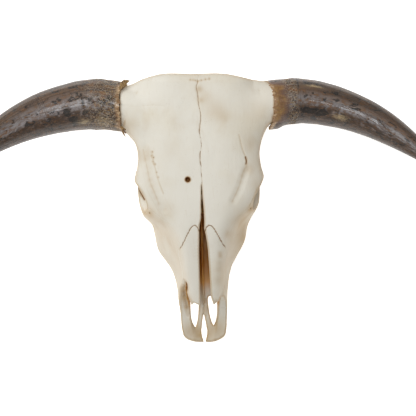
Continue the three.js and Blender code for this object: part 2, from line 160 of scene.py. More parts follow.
def curve(keys: Array, parts: int, closed: bool = False) -> Array:
    """Runs a centripetal Catmull-Rom curve through key points.

    Args:
        keys: An array whose last two axes are the keys and their coordinates.
        parts: Points for each stretch between two keys.
        closed: Whether the curve comes back to its first key.

    Returns:
        The same array with its keys replaced by the curve's points.
    """
    if closed:
        p = [np.roll(keys, shift, axis=-2) for shift in (1, 0, -1, -2)]
    else:
        first = 2 * keys[..., :1, :] - keys[..., 1:2, :]
        last = 2 * keys[..., -1:, :] - keys[..., -2:-1, :]
        long = np.concatenate([first, keys, last], axis=-2)
        count = keys.shape[-2] - 1
        p = [long[..., shift : shift + count, :] for shift in range(4)]
    lengths = (np.linalg.norm(b - a, axis=-1, keepdims=True) for a, b in zip(p, p[1:]))
    step = [np.maximum(length, 1e-6) ** 0.5 for length in lengths]
    start = (p[1] - p[0]) / step[0] - (p[2] - p[0]) / (step[0] + step[1]) + (p[2] - p[1]) / step[1]
    end = (p[2] - p[1]) / step[1] - (p[3] - p[1]) / (step[1] + step[2]) + (p[3] - p[2]) / step[2]
    start, end = start * step[1], end * step[1]
    t = (np.arange(parts) / parts)[:, None]
    a, b, c, d = (v[..., None, :] for v in (p[1], p[2], start, end))
    points = a * (2 * t**3 - 3 * t**2 + 1) + b * (3 * t**2 - 2 * t**3)
    points = points + c * (t**3 - 2 * t**2 + t) + d * (t**3 - t**2)
    points = points.reshape(*keys.shape[:-2], -1, keys.shape[-1])
    return points if closed else np.concatenate([points, keys[..., -1:, :]], axis=-2)


def evenly(points: Array, shares: Array) -> Array:
    """Reads a line of points at shares of its length.

    Args:
        points: The line.
        shares: Shares of its length, from 0 to 1.

    Returns:
        A point for each share.
    """
    steps = np.linalg.norm(np.diff(points, axis=0), axis=1)
    along = np.concatenate([[0], np.cumsum(steps)])
    return np.stack([np.interp(shares * along[-1], along, points[:, i]) for i in range(points.shape[1])], 1)


def smoothstep(low: float, high: float, value: Array) -> Array:
    """A soft step from 0 below low to 1 above high."""
    t = np.clip((value - low) / (high - low), 0, 1)
    return t * t * (3 - 2 * t)


def lattice_noise(axes: Sequence[Array], scale: Sequence[float], seed: int) -> Array:
    """Smooth noise between -1 and 1 on a grid.

    Args:
        axes: The grid's places along each axis.
        scale: Size of the noise's lumps along each axis.
        seed: Seed of the random numbers.

    Returns:
        The noise at every place of the grid.
    """
    noise, weights, cells = np.random.default_rng(seed), [], []
    for axis, size in zip(axes, scale):
        place = (axis - axis[0]) / size
        whole = place.astype(int)
        part = place - whole
        part = part * part * (3 - 2 * part)
        weight = np.zeros((len(axis), whole[-1] + 2), np.float32)
        weight[np.arange(len(axis)), whole] = 1 - part
        weight[np.arange(len(axis)), whole + 1] = part
        weights.append(weight)
        cells.append(weight.shape[1])
    values = noise.uniform(-1, 1, cells).astype(np.float32)
    for weight in weights:
        values = np.moveaxis(np.tensordot(weight, values, axes=(1, 0)), 0, -1)
    return values


def ring_noise(angle: Array, lumps: int, seed: int) -> Array:
    """Makes noise that closes round a ring.

    Args:
        angle: Angles round the ring.
        lumps: About how many lumps it has.
        seed: Seed of the random numbers.

    Returns:
        The noise at each angle, of about -1 to 1.
    """
    turns = np.arange(max(1, lumps // 2), lumps + 1)[:, None]
    starts = np.random.default_rng(seed).uniform(0, 2 * np.pi, turns.shape)
    return np.sin(turns * angle + starts).sum(0) * 1.2 / math.sqrt(len(turns))


def loft(rings: Array) -> tuple[Array, Array, Array]:
    """Closes rings of points into a mesh, with each end capped.

    Args:
        rings: Rings by points by coordinates.

    Returns:
        The points, the quads and the triangles of the caps.
    """
    count, around, _ = rings.shape
    points = np.concatenate([rings.reshape(-1, 3), rings[:1].mean(1), rings[-1:].mean(1)])
    i, j = np.meshgrid(np.arange(count - 1), np.arange(around), indexing="ij")
    a, b = i * around + j, i * around + (j + 1) % around
    quads = np.stack([a, b, b + around, a + around], -1).reshape(-1, 4)
    k = np.arange(around)
    after, end, first = (k + 1) % around, (count - 1) * around, count * around
    near = np.stack([np.full(around, first), after, k], 1)
    far = np.stack([np.full(around, first + 1), end + k, end + after], 1)
    return points, quads, np.concatenate([near, far])


def facing(points: Array, quads: Array) -> int:
    """Finds which way a closed mesh's faces point.

    Args:
        points: Its points.
        quads: Its quads.

    Returns:
        1 where they point outwards and -1 where they point inwards.
    """
    a, b, c, d = ((points - points.mean(0))[quads[:, i]] for i in range(4))
    volume = np.einsum("ij,ij->", np.cross(a, b), c) + np.einsum("ij,ij->", np.cross(a, c), d)
    return 1 if volume > 0 else -1


def outline_distance(outline: Outline, u: Array, v: Array) -> Array:
    """Measures a flat grid of places against a closed outline.

    Args:
        outline: The corners of the outline.
        u: The places along the first axis.
        v: The places along the second.

    Returns:
        The distances, negative inside the outline.
    """
    points = np.asarray(outline, float)
    nearest = np.full(np.broadcast(u, v).shape, np.inf)
    inside = np.zeros(nearest.shape, bool)
    for (a, b), (c, d) in zip(points, np.roll(points, -1, axis=0)):
        run = (c - a, d - b)
        t = np.clip(((u - a) * run[0] + (v - b) * run[1]) / (run[0] ** 2 + run[1] ** 2), 0, 1)
        nearest = np.minimum(nearest, np.hypot(u - a - t * run[0], v - b - t * run[1]))
        if b != d:
            crosses = ((b > v) != (d > v)) & (u < run[0] * (v - b) / run[1] + a)
            inside ^= crosses
    return np.where(inside, -nearest, nearest).astype(np.float32)


# ---- clay ----


@dataclass
class Patch:
    """A form inside a window of the clay: the distance to its surface, negative inside it."""

    window: Window
    distance: Array


class Clay:
    """A block of space that holds the distance to a surface, worked by adding and cutting forms."""

    def __init__(self, low: Sequence[float], high: Sequence[float], grain: float) -> None:
        """Starts with an empty block.

        Args:
            low: Its lowest corner.
            high: Its highest corner.
            grain: The spacing of its grid.
        """
        self.grain = grain
        self.low = np.asarray(low, float)
        counts = np.ceil((np.asarray(high) - self.low) / grain).astype(int) + 1
        self.axes = [self.low[i] + grain * np.arange(counts[i]) for i in range(3)]
        self.distance = np.full(counts, BAND, np.float32)
        self.marks = np.full(counts, BAND, np.float32)
        self.bend = np.zeros(counts, np.float32)

    def everywhere(self) -> Window:
        """The window of the whole block."""
        return tuple(slice(0, count) for count in self.distance.shape)

    def window(self, low: Array, high: Array, margin: float = BAND) -> Window:
        """Finds the part of the grid between two corners, and a margin round it.

        Args:
            low: The lowest corner.
            high: The highest corner.
            margin: How far the window reaches beyond them.

        Returns:
            The window.
        """
        counts = np.array(self.distance.shape)
        first = np.floor((np.asarray(low) - margin - self.low) / self.grain).astype(int)
        last = np.ceil((np.asarray(high) + margin - self.low) / self.grain).astype(int) + 1
        return tuple(slice(a, b) for a, b in zip(np.clip(first, 0, counts), np.clip(last, 0, counts)))

    def places(self, window: Window) -> tuple[Array, Array, Array]:
        """The x, y and z of a window's places, shaped to spread over it."""
        x, y, z = (axis[part].astype(np.float32) for axis, part in zip(self.axes, window))
        return x[:, None, None], y[None, :, None], z[None, None, :]

    def noise(self, scale: Sequence[float], seed: int) -> Array:
        """Smooth noise over the whole block."""
        return lattice_noise(self.axes, scale, seed)

    def shell(self, rings: Array) -> Patch:
        """Fills a loft of rings.

        Args:
            rings: Rings by points by coordinates.

        Returns:
            The form.
        """
        points, quads, triangles = loft(rings)
        window = self.window(points.min(0), points.max(0))
        level = openvdb.FloatGrid.createLevelSetFromPolygons(
            (points - self.low) / self.grain,
            triangles=triangles.astype(np.int32),
            quads=quads.astype(np.int32),
            transform=openvdb.createLinearTransform(voxelSize=1.0),
            halfWidth=BAND / self.grain,
        )
        distance = np.empty([part.stop - part.start for part in window], np.float32)
        level.copyToArray(distance, ijk=tuple(int(part.start) for part in window))
        return Patch(window, distance * self.grain)

    def ball(
        self, middle: Sequence[float], radii: Sequence[float], turn: float = 0, lean: float = 0
    ) -> Patch:
        """An ellipsoid.

        Args:
            middle: Its middle.
            radii: Its three radii.
            turn: Its turn about Z, in degrees.
            lean: Its lean about Y before the turn, in degrees.

        Returns:
            The form.
        """
        reach = np.full(3, max(radii))
        window = self.window(np.subtract(middle, reach), np.add(middle, reach))
        x, y, z = (p - m for p, m in zip(self.places(window), middle))
        about_z = Matrix.Rotation(math.radians(turn), 3, "Z")
        rows = (about_z @ Matrix.Rotation(math.radians(lean), 3, "Y")).transposed()
        u, v, w = (row[0] * x + row[1] * y + row[2] * z for row in rows)
        a, b, c = radii
        near = np.sqrt((u / a) ** 2 + (v / b) ** 2 + (w / c) ** 2)
        steep = np.sqrt((u / a**2) ** 2 + (v / b**2) ** 2 + (w / c**2) ** 2)
        return Patch(window, np.clip(near * (near - 1) / np.maximum(steep, 1e-6), -BAND, BAND))

    def rod(self, points: Outline, radii: Sequence[float]) -> Patch:
        """A chain of rounded rods.

        Args:
            points: The middles of its joints.
            radii: The radius at each joint.

        Returns:
            The form.
        """
        keys = np.asarray(points, float)
        window = self.window(keys.min(0) - max(radii), keys.max(0) + max(radii))
        x, y, z = self.places(window)
        nearest = None
        for a, b, r0, r1 in zip(keys, keys[1:], radii, radii[1:]):
            run = b - a
            along = (x - a[0]) * run[0] + (y - a[1]) * run[1] + (z - a[2]) * run[2]
            t = np.clip(along / max(run @ run, 1e-9), 0, 1)
            u, v, w = (place - a[i] - t * run[i] for i, place in enumerate((x, y, z)))
            away = np.sqrt(u**2 + v**2 + w**2)
            here = away - (r0 + (r1 - r0) * t)
            nearest = here if nearest is None else np.minimum(nearest, here)
        return Patch(window, np.clip(nearest, -BAND, BAND))

    def prism(self, outline: Outline, low: float, high: float, axis: int = 2) -> Patch:
        """Raises a prism on a flat outline.

        Args:
            outline: Its corners, along the two other axes.
            low: Its lower end.
            high: Its upper end.
            axis: The axis that it runs along: 2 for upwards and 0 for across the skull.

        Returns:
            The form.
        """
        points = np.asarray(outline, float)
        window = self.window(np.insert(points.min(0), axis, low), np.insert(points.max(0), axis, high))
        places = self.places(window)
        along = places[axis]
        u, v = (place for i, place in enumerate(places) if i != axis)
        flat = outline_distance(outline, u, v)
        return Patch(window, np.clip(np.maximum(flat, np.maximum(low - along, along - high)), -BAND, BAND))

    def add(self, form: Patch, blend: float = 0.01) -> None:
        """Adds a form, with a fillet where it meets the rest.

        Args:
            form: The form.
            blend: About how large the fillet is, at most BAND.
        """
        old = self.distance[form.window]
        near = np.maximum(blend - np.abs(old - form.distance), 0) / blend
        self.distance[form.window] = np.minimum(old, form.distance) - near * near * (blend / 4)

    def cut(self, form: Patch, blend: float = 0.01) -> None:
        """Cuts a form away, with rounded edges.

        Args:
            form: The form.
            blend: About how far the edges are rounded, at most BAND.
        """
        old = self.distance[form.window]
        near = np.maximum(blend - np.abs(old + form.distance), 0) / blend
        self.distance[form.window] = np.maximum(old, -form.distance) + near * near * (blend / 4)

    def mark(self, form: Patch, ease: float = 0.0) -> None:
        """Remembers how far each place is from a form round which the finish paints shade, and some ease."""
        old = self.marks[form.window]
        self.marks[form.window] = np.minimum(old, form.distance + ease)

    def find_bend(self) -> None:
        """Works out how much the surface bends at each place: above 0 on ridges, below 0 in creases."""
        f, step = self.distance, 2
        core = slice(step, -step)
        total = -6 * f[core, core, core]
        total += f[2 * step :, core, core] + f[: -2 * step, core, core]
        total += f[core, 2 * step :, core] + f[core, : -2 * step, core]
        total += f[core, core, 2 * step :] + f[core, core, : -2 * step]
        self.bend[core, core, core] = total / (step * self.grain) ** 2

    def trim_at_floor(self) -> None:
        """Cuts away all that is below the floor."""
        _, y, z = self.places(self.everywhere())
        self.distance = np.maximum(self.distance, (floor_below(y) - z) * math.cos(REST_TILT))

    def top(self, x: float, y: float) -> float:
        """Finds the height of the upper surface at a place.

        Args:
            x: Its x.
            y: Its y.

        Returns:
            The height.
        """
        i, j = (int(round((value - low) / self.grain)) for value, low in zip((x, y), self.low))
        column = self.distance[i, j]
        inside = np.nonzero(column < 0)[0]
        if not len(inside):
            return 0.0
        k = inside[-1]
        share = column[k] / (column[k] - column[min(k + 1, len(column) - 1)] - 1e-9)
        return float(self.axes[2][k] + self.grain * share)

    def read(self, values: Array, points: Array) -> Array:
        """Reads a grid of values at points inside the block.

        Args:
            values: A grid of values over the whole block.
            points: The points.

        Returns:
            A value for each point.
        """
        place = (points - self.low) / self.grain
        most = np.array(values.shape) - 2
        whole = np.clip(place.astype(int), 0, most)
        part = np.clip(place - whole, 0, 1)
        total = np.zeros(len(points))
        for corner in np.ndindex(2, 2, 2):
            weight = np.prod(np.where(corner, part, 1 - part), axis=1)
            i, j, k = (whole + corner).T
            total += weight * values[i, j, k]
        return total

    def skin(self, distance: Array) -> tuple[Array, Array]:
        """Draws the surface of a grid of distances.

        Args:
            distance: Distances over the whole block.

        Returns:
            The points, in millimetres, and the quads, facing outwards.
        """
        inside = distance < 0
        first, last = [], []
        for axis in range(3):
            others = tuple(i for i in range(3) if i != axis)
            found = np.nonzero(inside.any(axis=others))[0]
            first.append(max(int(found[0]) - 2, 0))
            last.append(int(found[-1]) + 3)
        part = np.ascontiguousarray(distance[tuple(slice(a, b) for a, b in zip(first, last))])
        part = np.pad(part, 1, constant_values=BAND)
        grid = openvdb.FloatGrid(BAND)
        grid.copyFromArray(part)
        points, quads = grid.convertToQuads(isovalue=0.0)
        points = (points + np.array(first) - 1) * self.grain + self.low
        return points, quads[:, :: facing(points, quads)]


# ---- meshes ----


def make_piece(name: str, points: Array, faces: Sequence[Array], smooth: bool = True) -> bpy.types.Object:
    """Makes a mesh object from points in the forehead frame.

    Args:
        name: The piece's name.
        points: Rows of x, y and z in millimetres.
        faces: Arrays of faces, each of one number of corners.
        smooth: Whether its faces are shaded smooth.

    Returns:
        The object, at the origin, with its place in its mesh.
    """
    mesh = bpy.data.meshes.new(name)
    corners = np.concatenate([part.ravel() for part in faces]).astype(np.int32)
    sizes = np.concatenate([np.full(len(part), part.shape[1]) for part in faces])
    mesh.vertices.add(len(points))
    mesh.vertices.foreach_set("co", to_rest(points).astype(np.float32).ravel())
    mesh.loops.add(len(corners))
    mesh.loops.foreach_set("vertex_index", corners)
    mesh.polygons.add(len(sizes))
    mesh.polygons.foreach_set("loop_start", np.concatenate([[0], np.cumsum(sizes)[:-1]]).astype(np.int32))
    mesh.polygons.foreach_set("use_smooth", np.full(len(sizes), smooth))
    mesh.update(calc_edges=True)
    mesh.validate()
    made = bpy.data.objects.new(name, mesh)
    bpy.context.scene.collection.objects.link(made)
    return made


def normals_of(piece: bpy.types.Object) -> Array:
    """Reads the normals of a piece's points, in the forehead frame.

    Args:
        piece: The piece.

    Returns:
        A normal for each point.
    """
    count = len(piece.data.vertices)
    found = np.zeros(count * 3, np.float32)
    piece.data.vertices.foreach_get("normal", found)
    x, y, z = found.reshape(-1, 3).T
    c, s = math.cos(REST_TILT), math.sin(REST_TILT)
    return np.stack([x, c * y + s * z, c * z - s * y], 1)


def keep_values(piece: bpy.types.Object, name: str, values: Array) -> None:
    """Keeps a number or a vector for each of a piece's points, for its material.

    Args:
        piece: The piece.
        name: The name that the material reads them by.
        values: A number or a row of three numbers for each point.
    """
    kind, entry = ("FLOAT", "value") if values.ndim == 1 else ("FLOAT_VECTOR", "vector")
    attribute = piece.data.attributes.new(name, kind, "POINT")
    attribute.data.foreach_set(entry, values.astype(np.float32).ravel())


# ---- materials ----


class Wire:
    """A socket whose value is carried on, with the arithmetic of numbers."""

    def __init__(self, graph: "Graph", socket: bpy.types.NodeSocket) -> None:
        """Wraps an output socket of a graph's node."""
        self.graph = graph
        self.socket = socket

    def _math(self, operation: str, *values: Any) -> "Wire":
        """Adds a Math node on some values."""
        return self.graph.node("ShaderNodeMath", {"operation": operation}, dict(enumerate(values)))

    def __add__(self, other: Any) -> "Wire":
        """The sum."""
        return self._math("ADD", self, other)

    def __radd__(self, other: Any) -> "Wire":
        """The sum, from the right."""
        return self._math("ADD", other, self)

    def __sub__(self, other: Any) -> "Wire":
        """The difference."""
        return self._math("SUBTRACT", self, other)

    def __rsub__(self, other: Any) -> "Wire":
        """The difference, from the right."""
        return self._math("SUBTRACT", other, self)

    def __mul__(self, other: Any) -> "Wire":
        """The product."""
        return self._math("MULTIPLY", self, other)

    def __rmul__(self, other: Any) -> "Wire":
        """The product, from the right."""
        return self._math("MULTIPLY", other, self)

    def step(self, low: float, high: float, start: float = 0.0, end: float = 1.0) -> "Wire":
        """Takes a soft step from one value to another.

        Args:
            low: Where it starts.
            high: Where it ends.
            start: Its value at low.
            end: Its value at high.

        Returns:
            The step.
        """
        settings = {"interpolation_type": "SMOOTHSTEP"}
        inputs = {"Value": self, "From Min": low, "From Max": high, "To Min": start, "To Max": end}
        return self.graph.node("ShaderNodeMapRange", settings, inputs)


class Graph:
    """Builds the nodes of a material or of a geometry tree."""

    def __init__(self, tree: bpy.types.NodeTree) -> None:
        """Starts on an emptied node tree."""
        tree.nodes.clear()
        self.tree = tree

    def node(
        self,
        kind: str,
        settings: Mapping[str, Any] | None = None,
        inputs: Mapping[Any, Any] | None = None,
        output: int | str = 0,
    ) -> Wire:
        """Adds a node.

        Args:
            kind: The node's type.
            settings: Its settings, which are set first.
            inputs: Values or wires for its sockets, by name or place.
            output: The output that is carried on, by name or place.

        Returns:
            The output.
        """
        made = self.tree.nodes.new(kind)
        for name, value in (settings or {}).items():
            setattr(made, name, value)
        for name, value in (inputs or {}).items():
            if isinstance(value, Wire):
                self.tree.links.new(value.socket, made.inputs[name])
            else:
                made.inputs[name].default_value = value
        return Wire(self, made.outputs[output]) if made.outputs else Wire(self, made.inputs[0])

    def also(self, wire: Wire, output: int | str) -> Wire:
        """Another output of the node that a wire comes from."""
        return Wire(self, wire.socket.node.outputs[output])

    def value(self, name: str) -> Wire:
        """A number that the piece keeps for each point."""
        return self.node("ShaderNodeAttribute", {"attribute_name": name}, output="Fac")

    def place(self, name: str | None = None) -> Wire:
        """Reads the place on the piece.

        Args:
            name: The vector that the piece keeps, or none for its object coordinates.

        Returns:
            The place.
        """
        if name is None:
            return self.node("ShaderNodeTexCoord", output="Object")
        return self.node("ShaderNodeAttribute", {"attribute_name": name}, output="Vector")

    def vector(self, operation: str, a: Wire, b: Any) -> Wire:
        """Adds a Vector Math node."""
        return self.node("ShaderNodeVectorMath", {"operation": operation}, {0: a, 1: b})

    def split(self, vector: Wire) -> tuple[Wire, Wire, Wire]:
        """The three parts of a vector."""
        x = self.node("ShaderNodeSeparateXYZ", inputs={0: vector})
        return x, self.also(x, 1), self.also(x, 2)

    def sized(self, vector: Wire, scale: Scale) -> dict[str, Any]:
        """Gives the sockets that place a texture and set its scale.

        Args:
            vector: The place.
            scale: The texture's scale, which may differ along each axis.

        Returns:
            The values of the sockets.
        """
        if isinstance(scale, (int, float)):
            return {"Vector": vector, "Scale": scale}
        return {"Vector": self.vector("MULTIPLY", vector, scale), "Scale": 1}

    def noise(self, at: Wire, scale: Scale, detail: float = 3, rough: float = 0.55, warp: float = 0) -> Wire:
        """Cloudy noise, from 0 to 1."""
        inputs = {"Detail": detail, "Roughness": rough, "Distortion": warp}
        return self.node("ShaderNodeTexNoise", inputs=self.sized(at, scale) | inputs)

    def cells(self, at: Wire, scale: Scale, feature: str = "F1") -> Wire:
        """The distance to scattered points, or to the borders between them."""
        return self.node("ShaderNodeTexVoronoi", {"feature": feature}, self.sized(at, scale), "Distance")

    def mix(self, share: Any, a: Any, b: Any) -> Wire:
        """A colour between a and b."""
        settings = {"data_type": "RGBA", "clamp_factor": True}
        return self.node("ShaderNodeMix", settings, {0: share, 6: a, 7: b}, 2)

    def layers(self, base: Any, *coats: tuple[Any, Any]) -> Wire:
        """Lays colours over a base, one after the other.

        Args:
            base: The colour underneath.
            coats: The share and the colour of each coat.

        Returns:
            The colour on top.
        """
        for share, colour in coats:
            base = self.mix(share, base, colour)
        return base

    def bump(self, height: Wire, distance: float, strength: float = 1.0) -> Wire:
        """A normal that follows a height in units of the given distance."""
        inputs = {"Height": height, "Distance": distance, "Strength": strength}
        return self.node("ShaderNodeBump", inputs=inputs)


Colour = tuple[float, float, float, float]


def rgb(red: float, green: float, blue: float) -> Colour:
    """A colour in linear light, without transparency."""
    return (red, green, blue, 1.0)


def finished(name: str, shader: Callable[[Graph], Mapping[str, Any]]) -> bpy.types.Material:
    """Makes a material from the sockets of its shader.

    Args:
        name: The material's name.
        shader: Gives the values or wires of the shader's sockets.

    Returns:
        The material.
    """
    material = bpy.data.materials.new(name)
    material.use_nodes = True
    graph = Graph(material.node_tree)
    surface = graph.node("ShaderNodeBsdfPrincipled", inputs=shader(graph))
    graph.node("ShaderNodeOutputMaterial", inputs={"Surface": surface})
    return material


@dataclass(frozen=True)
class BoneFinish:
    """Old, clean, dry bone: pale, with brown sutures, tan edges that are partly wear and partly painted
    shade, and dark hollows that are painted shade.
    """

    pale: Colour = rgb(0.84, 0.81, 0.725)
    cream: Colour = rgb(0.78, 0.715, 0.575)
    tan: Colour = rgb(0.52, 0.36, 0.175)
    brown: Colour = rgb(0.22, 0.1, 0.03)
    lining: Colour = rgb(0.8, 0.42, 0.085)
    deep: Colour = rgb(0.5, 0.2, 0.02)
    # the colour of painted shade inside holes and pits
    hole: Colour = rgb(0.36, 0.14, 0.025)
    roughness: float = 0.5

    def shader(self, g: Graph) -> Mapping[str, Any]:
        """Works out the shader's sockets.

        Args:
            g: The graph that the nodes are added to.

        Returns:
            Values or wires, by socket.
        """
        at = g.place()
        seam, mark, hollow, bend, stain, inside = (
            g.value(name) for name in ("seam", "mark", "hollow", "bend", "stain", "inside")
        )
        clouds = g.noise(at, 9, 4, 0.6)
        patches = g.noise(at, (24, 10.8, 24), 5, 0.62, 0.6)
        fine = g.noise(at, 320, 5, 0.65)
        grain = g.noise(at, (260, 38, 120), 4, 0.6, 0.3)
        streaks = g.noise(at, (170, 12, 90), 4, 0.6)
        pore = g.cells(at, (420, 231, 420)).step(0.07, 0.2, 1, 0) * g.noise(at, 60, 2).step(0.5, 0.68)
        colour = g.layers(
            self.pale,
            (clouds.step(0.42, 0.7) * 0.6, self.cream),
            (patches.step(0.56, 0.8) * 0.2, self.tan),
            (grain.step(0.55, 0.8) * 0.1, self.tan),
            # stain holds real stains and painted shade, both in tan
            (stain * (0.35 + patches * 1.1), self.tan),
            # tan on ridges: partly edge wear, partly painted shade of edges that turn away from the light
            (bend.step(0.03, 0.24) * (0.2 + patches * 0.7), self.tan),
            # painted shade: tan in creases and in hollows, where the surface is enclosed
            (bend.step(-0.2, -0.04, 1, 0) * (0.1 + patches * 0.6), self.tan),
            (hollow.step(0.4, 1.0) * (0.2 + patches * 0.8), self.tan),
            # painted shade: tan and brown along grooves, pits, holes and lines of shade, and dark brown
            # inside holes and pits
            (mark.step(0.3, 3.2, 0.5, 0) * (0.5 + patches), self.tan),
            (seam.step(0.2, 3.0, 0.4, 0), self.tan),
            (seam.step(0.3, 1.5, 0.9, 0) * (0.6 + patches), self.brown),
            (mark.step(0.1, 1.0, 0.95, 0), self.brown),
            (mark.step(-0.9, 0.1, 1, 0), self.hole),
            (pore * 0.4, self.tan),
            # the brown lining of the nasal cavity, which goes on as painted shade over the walls of the
            # nasal opening
            (inside.step(0.0, 0.5) * (0.6 + streaks * 0.4), self.lining),
            (inside.step(0.3, 1.0) * streaks.step(0.35, 0.6, 0.35, 1), self.deep),
        )
        relief = grain * 0.35 + fine * 0.3 + patches * 0.4 - pore * 0.8
        rough = self.roughness + fine * 0.16 + hollow * 0.1
        return {"Base Color": colour, "Roughness": rough, "Normal": g.bump(relief, 0.0006, 0.8)}


@dataclass(frozen=True)
class HornFinish:
    """A horn sheath: dark, fibrous and worn, ochre and flaky towards its edge."""

    umber: Colour = rgb(0.125, 0.07, 0.039)
    dark: Colour = rgb(0.04, 0.021, 0.011)
    black: Colour = rgb(0.011, 0.008, 0.007)
    grey_dust_and_sheen: Colour = rgb(0.3, 0.285, 0.3)
    straw: Colour = rgb(0.52, 0.39, 0.22)
    rust: Colour = rgb(0.26, 0.115, 0.04)
    plum: Colour = rgb(0.135, 0.073, 0.052)
    amber: Colour = rgb(0.21, 0.1, 0.036)
    honey: Colour = rgb(0.38, 0.22, 0.075)
    rim: Colour = rgb(0.66, 0.47, 0.28)
    chalk: Colour = rgb(0.6, 0.5, 0.38)

    def shader(self, g: Graph) -> Mapping[str, Any]:
        """Works out the shader's sockets.

        Args:
            g: The graph that the nodes are added to.

        Returns:
            Values or wires, by socket.
        """
        at = g.place("grain_place")
        glow, scuff, lip, sheen, burnt, ringed, ochre = (
            g.value(name) for name in ("amber", "flaky", "lip", "sheen", "burnt", "ringed", "ochre")
        )
        streaks = g.noise(at, (620, 620, 11), 5, 0.7, 0.25)
        bands = g.noise(at, (110, 110, 6), 4, 0.6, 0.5)
        blots = g.noise(at, (70, 70, 55), 5, 0.68, 0.5)
        worn = g.noise(at, (127.5, 127.5, 78), 5, 0.66, 0.5)
        flecks = g.noise(at, (430, 430, 150), 4, 0.62, 1.1)
        dust = g.noise(at, (900, 900, 260), 3, 0.7)
        rings = g.noise(at, (16, 16, 460), 3, 0.6, 0.4)
        bent = g.vector("ADD", dust * 0.004, at)
        scales = g.cells(bent, (180, 180, 270), "DISTANCE_TO_EDGE").step(0.0, 0.11, 1, 0)
        burning = burnt.step(0.0, 0.9)
        stroke = (blots + burnt.step(0.9, 2.0, 0.0, 0.2)).step(0.56, 0.62)
        fleck = flecks.step(0.56, 0.66) * (worn.step(0.3, 0.6, 1, 0.2) * (0.3 + scuff * 0.7))
        pale = g.mix(worn.step(0.42, 0.56) * 0.8, self.rim, self.rust)
        glass = g.mix((worn * 0.6 + rings * 0.4).step(0.38, 0.62), self.amber, self.honey)
        colour = g.layers(
            self.umber,
            (bands.step(0.38, 0.62), self.dark),
            (streaks.step(0.5, 0.7) * 0.6, self.dark),
            (streaks.step(0.46, 0.3) * 0.3, self.straw),
            (worn.step(0.5, 0.66) * (0.35 + scuff * 0.6), self.rust),
            # painted highlight: a grey band where the overhead light glances off the horn
            (sheen * worn.step(0.64, 0.4) * 0.75, self.grey_dust_and_sheen),
            (burning * worn.step(0.3, 0.5) * 0.9, self.dark),
            (burning * flecks.step(0.5, 0.6) * 0.35, self.rust),
            (stroke * 0.92, self.black),
            (fleck * 0.6, self.straw),
            (ochre * (streaks * 0.5 + flecks * 0.5).step(0.42, 0.56), self.straw),
            (dust.step(0.58, 0.72) * 0.15, self.grey_dust_and_sheen),
            (rings.step(0.5, 0.62) * (0.12 + ringed * 0.75), self.black),
            (glow.step(0.02, 0.35) * (0.8 + streaks * 0.3), g.mix(glow.step(0.75, 0.25), glass, self.plum)),
            (scales * scuff * flecks.step(0.4, 0.52), self.chalk),
            (lip.step(0.0, 0.8) * flecks.step(0.3, 0.5) * 0.9, pale),
            (lip.step(0.75, 1.0) * 0.5, pale),
        )
        relief = streaks * 0.6 + bands * 0.5 + dust * 0.3 + worn * scuff * 1.2 + scales * scuff * 0.5
        relief = relief - stroke * 0.6 - rings * ringed * 0.8
        rough = 0.3 + streaks * 0.14 + worn * 0.16 + scuff * 0.12
        return {
            "Base Color": colour,
            "Roughness": rough,
            "Coat Weight": 0.12 + bands * 0.25,
            "Normal": g.bump(relief, 0.0011, 0.9),
        }


@dataclass(frozen=True)
class FlakeFinish:
    """Loose keratin: the flakes and fibres that lift from a sheath."""

    light: Colour = rgb(0.44, 0.28, 0.11)
    dark: Colour = rgb(0.12, 0.065, 0.03)

    def shader(self, g: Graph) -> Mapping[str, Any]:
        """Works out the shader's sockets."""
        clouds = g.noise(g.place(), 420, 3)
        return {"Base Color": g.mix(clouds.step(0.35, 0.65), self.dark, self.light), "Roughness": 0.6}


@dataclass(frozen=True)
class ToothFinish:
    """Cheek teeth: pale enamel with brown stain in its folds and a brown worn face."""

    enamel: Colour = rgb(0.72, 0.67, 0.55)
    stain: Colour = rgb(0.3, 0.2, 0.1)
    dentine: Colour = rgb(0.38, 0.25, 0.12)

    def shader(self, g: Graph) -> Mapping[str, Any]:
        """Works out the shader's sockets.

        Args:
            g: The graph that the nodes are added to.

        Returns:
            Values or wires, by socket.
        """
        at = g.place()
        hollow = g.value("hollow")
        stains = g.noise(at, (130, 130, 45.5), 4, 0.6)
        colour = g.mix((hollow * 0.6 + stains * 0.6).step(0.45, 1.1, 0, 0.62), self.enamel, self.stain)
        _, _, height = g.split(at)
        colour = g.mix(height.step(0.0006, 0.003, 0.75, 0), colour, self.dentine)
        relief = g.noise(at, (260, 260, 780), 3)
        rough = 0.32 + stains * 0.3
        return {"Base Color": colour, "Roughness": rough, "Normal": g.bump(relief, 0.0003, 0.7)}


@dataclass(frozen=True)
class FloorFinish:
    """A plain white studio floor, lit a little from within so that shadows stay pale."""

    white: Colour = rgb(0.95, 0.95, 0.95)
    glow: float = 0.82

    def shader(self, g: Graph) -> Mapping[str, Any]:
        """Works out the shader's sockets."""
        light = {"Emission Color": self.white, "Emission Strength": self.glow}
        return {"Base Color": self.white, "Roughness": 0.9} | light


class Finish(Enum):
    """The finishes of this skull, each with its material's name."""

    BONE = ("dry_bone", BoneFinish())
    HORN = ("worn_horn", HornFinish())
    FLAKE = ("loose_keratin", FlakeFinish())
    TOOTH = ("worn_tooth", ToothFinish())
    FLOOR = ("studio_floor", FloorFinish())

    def material(self) -> bpy.types.Material:
        """The finish's material, made when it is first asked for."""
        name, finish = self.value
        return bpy.data.materials.get(name) or finished(name, finish.shader)


def hand_over(piece: bpy.types.Object, finish: Finish, nodes: Sequence[str] = ()) -> None:
    """Gives a piece its finish and its place in the frame.

    Args:
        piece: The piece.
        finish: Its finish.
        nodes: The solids that it stands for.
    """
    piece.data.materials.clear()
    piece.data.materials.append(finish.material())
    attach(piece, "root")
    if nodes:
        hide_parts(*nodes)
    LOG.info("%s: %d faces", piece.name, len(piece.data.polygons))


# ---- the bones ----


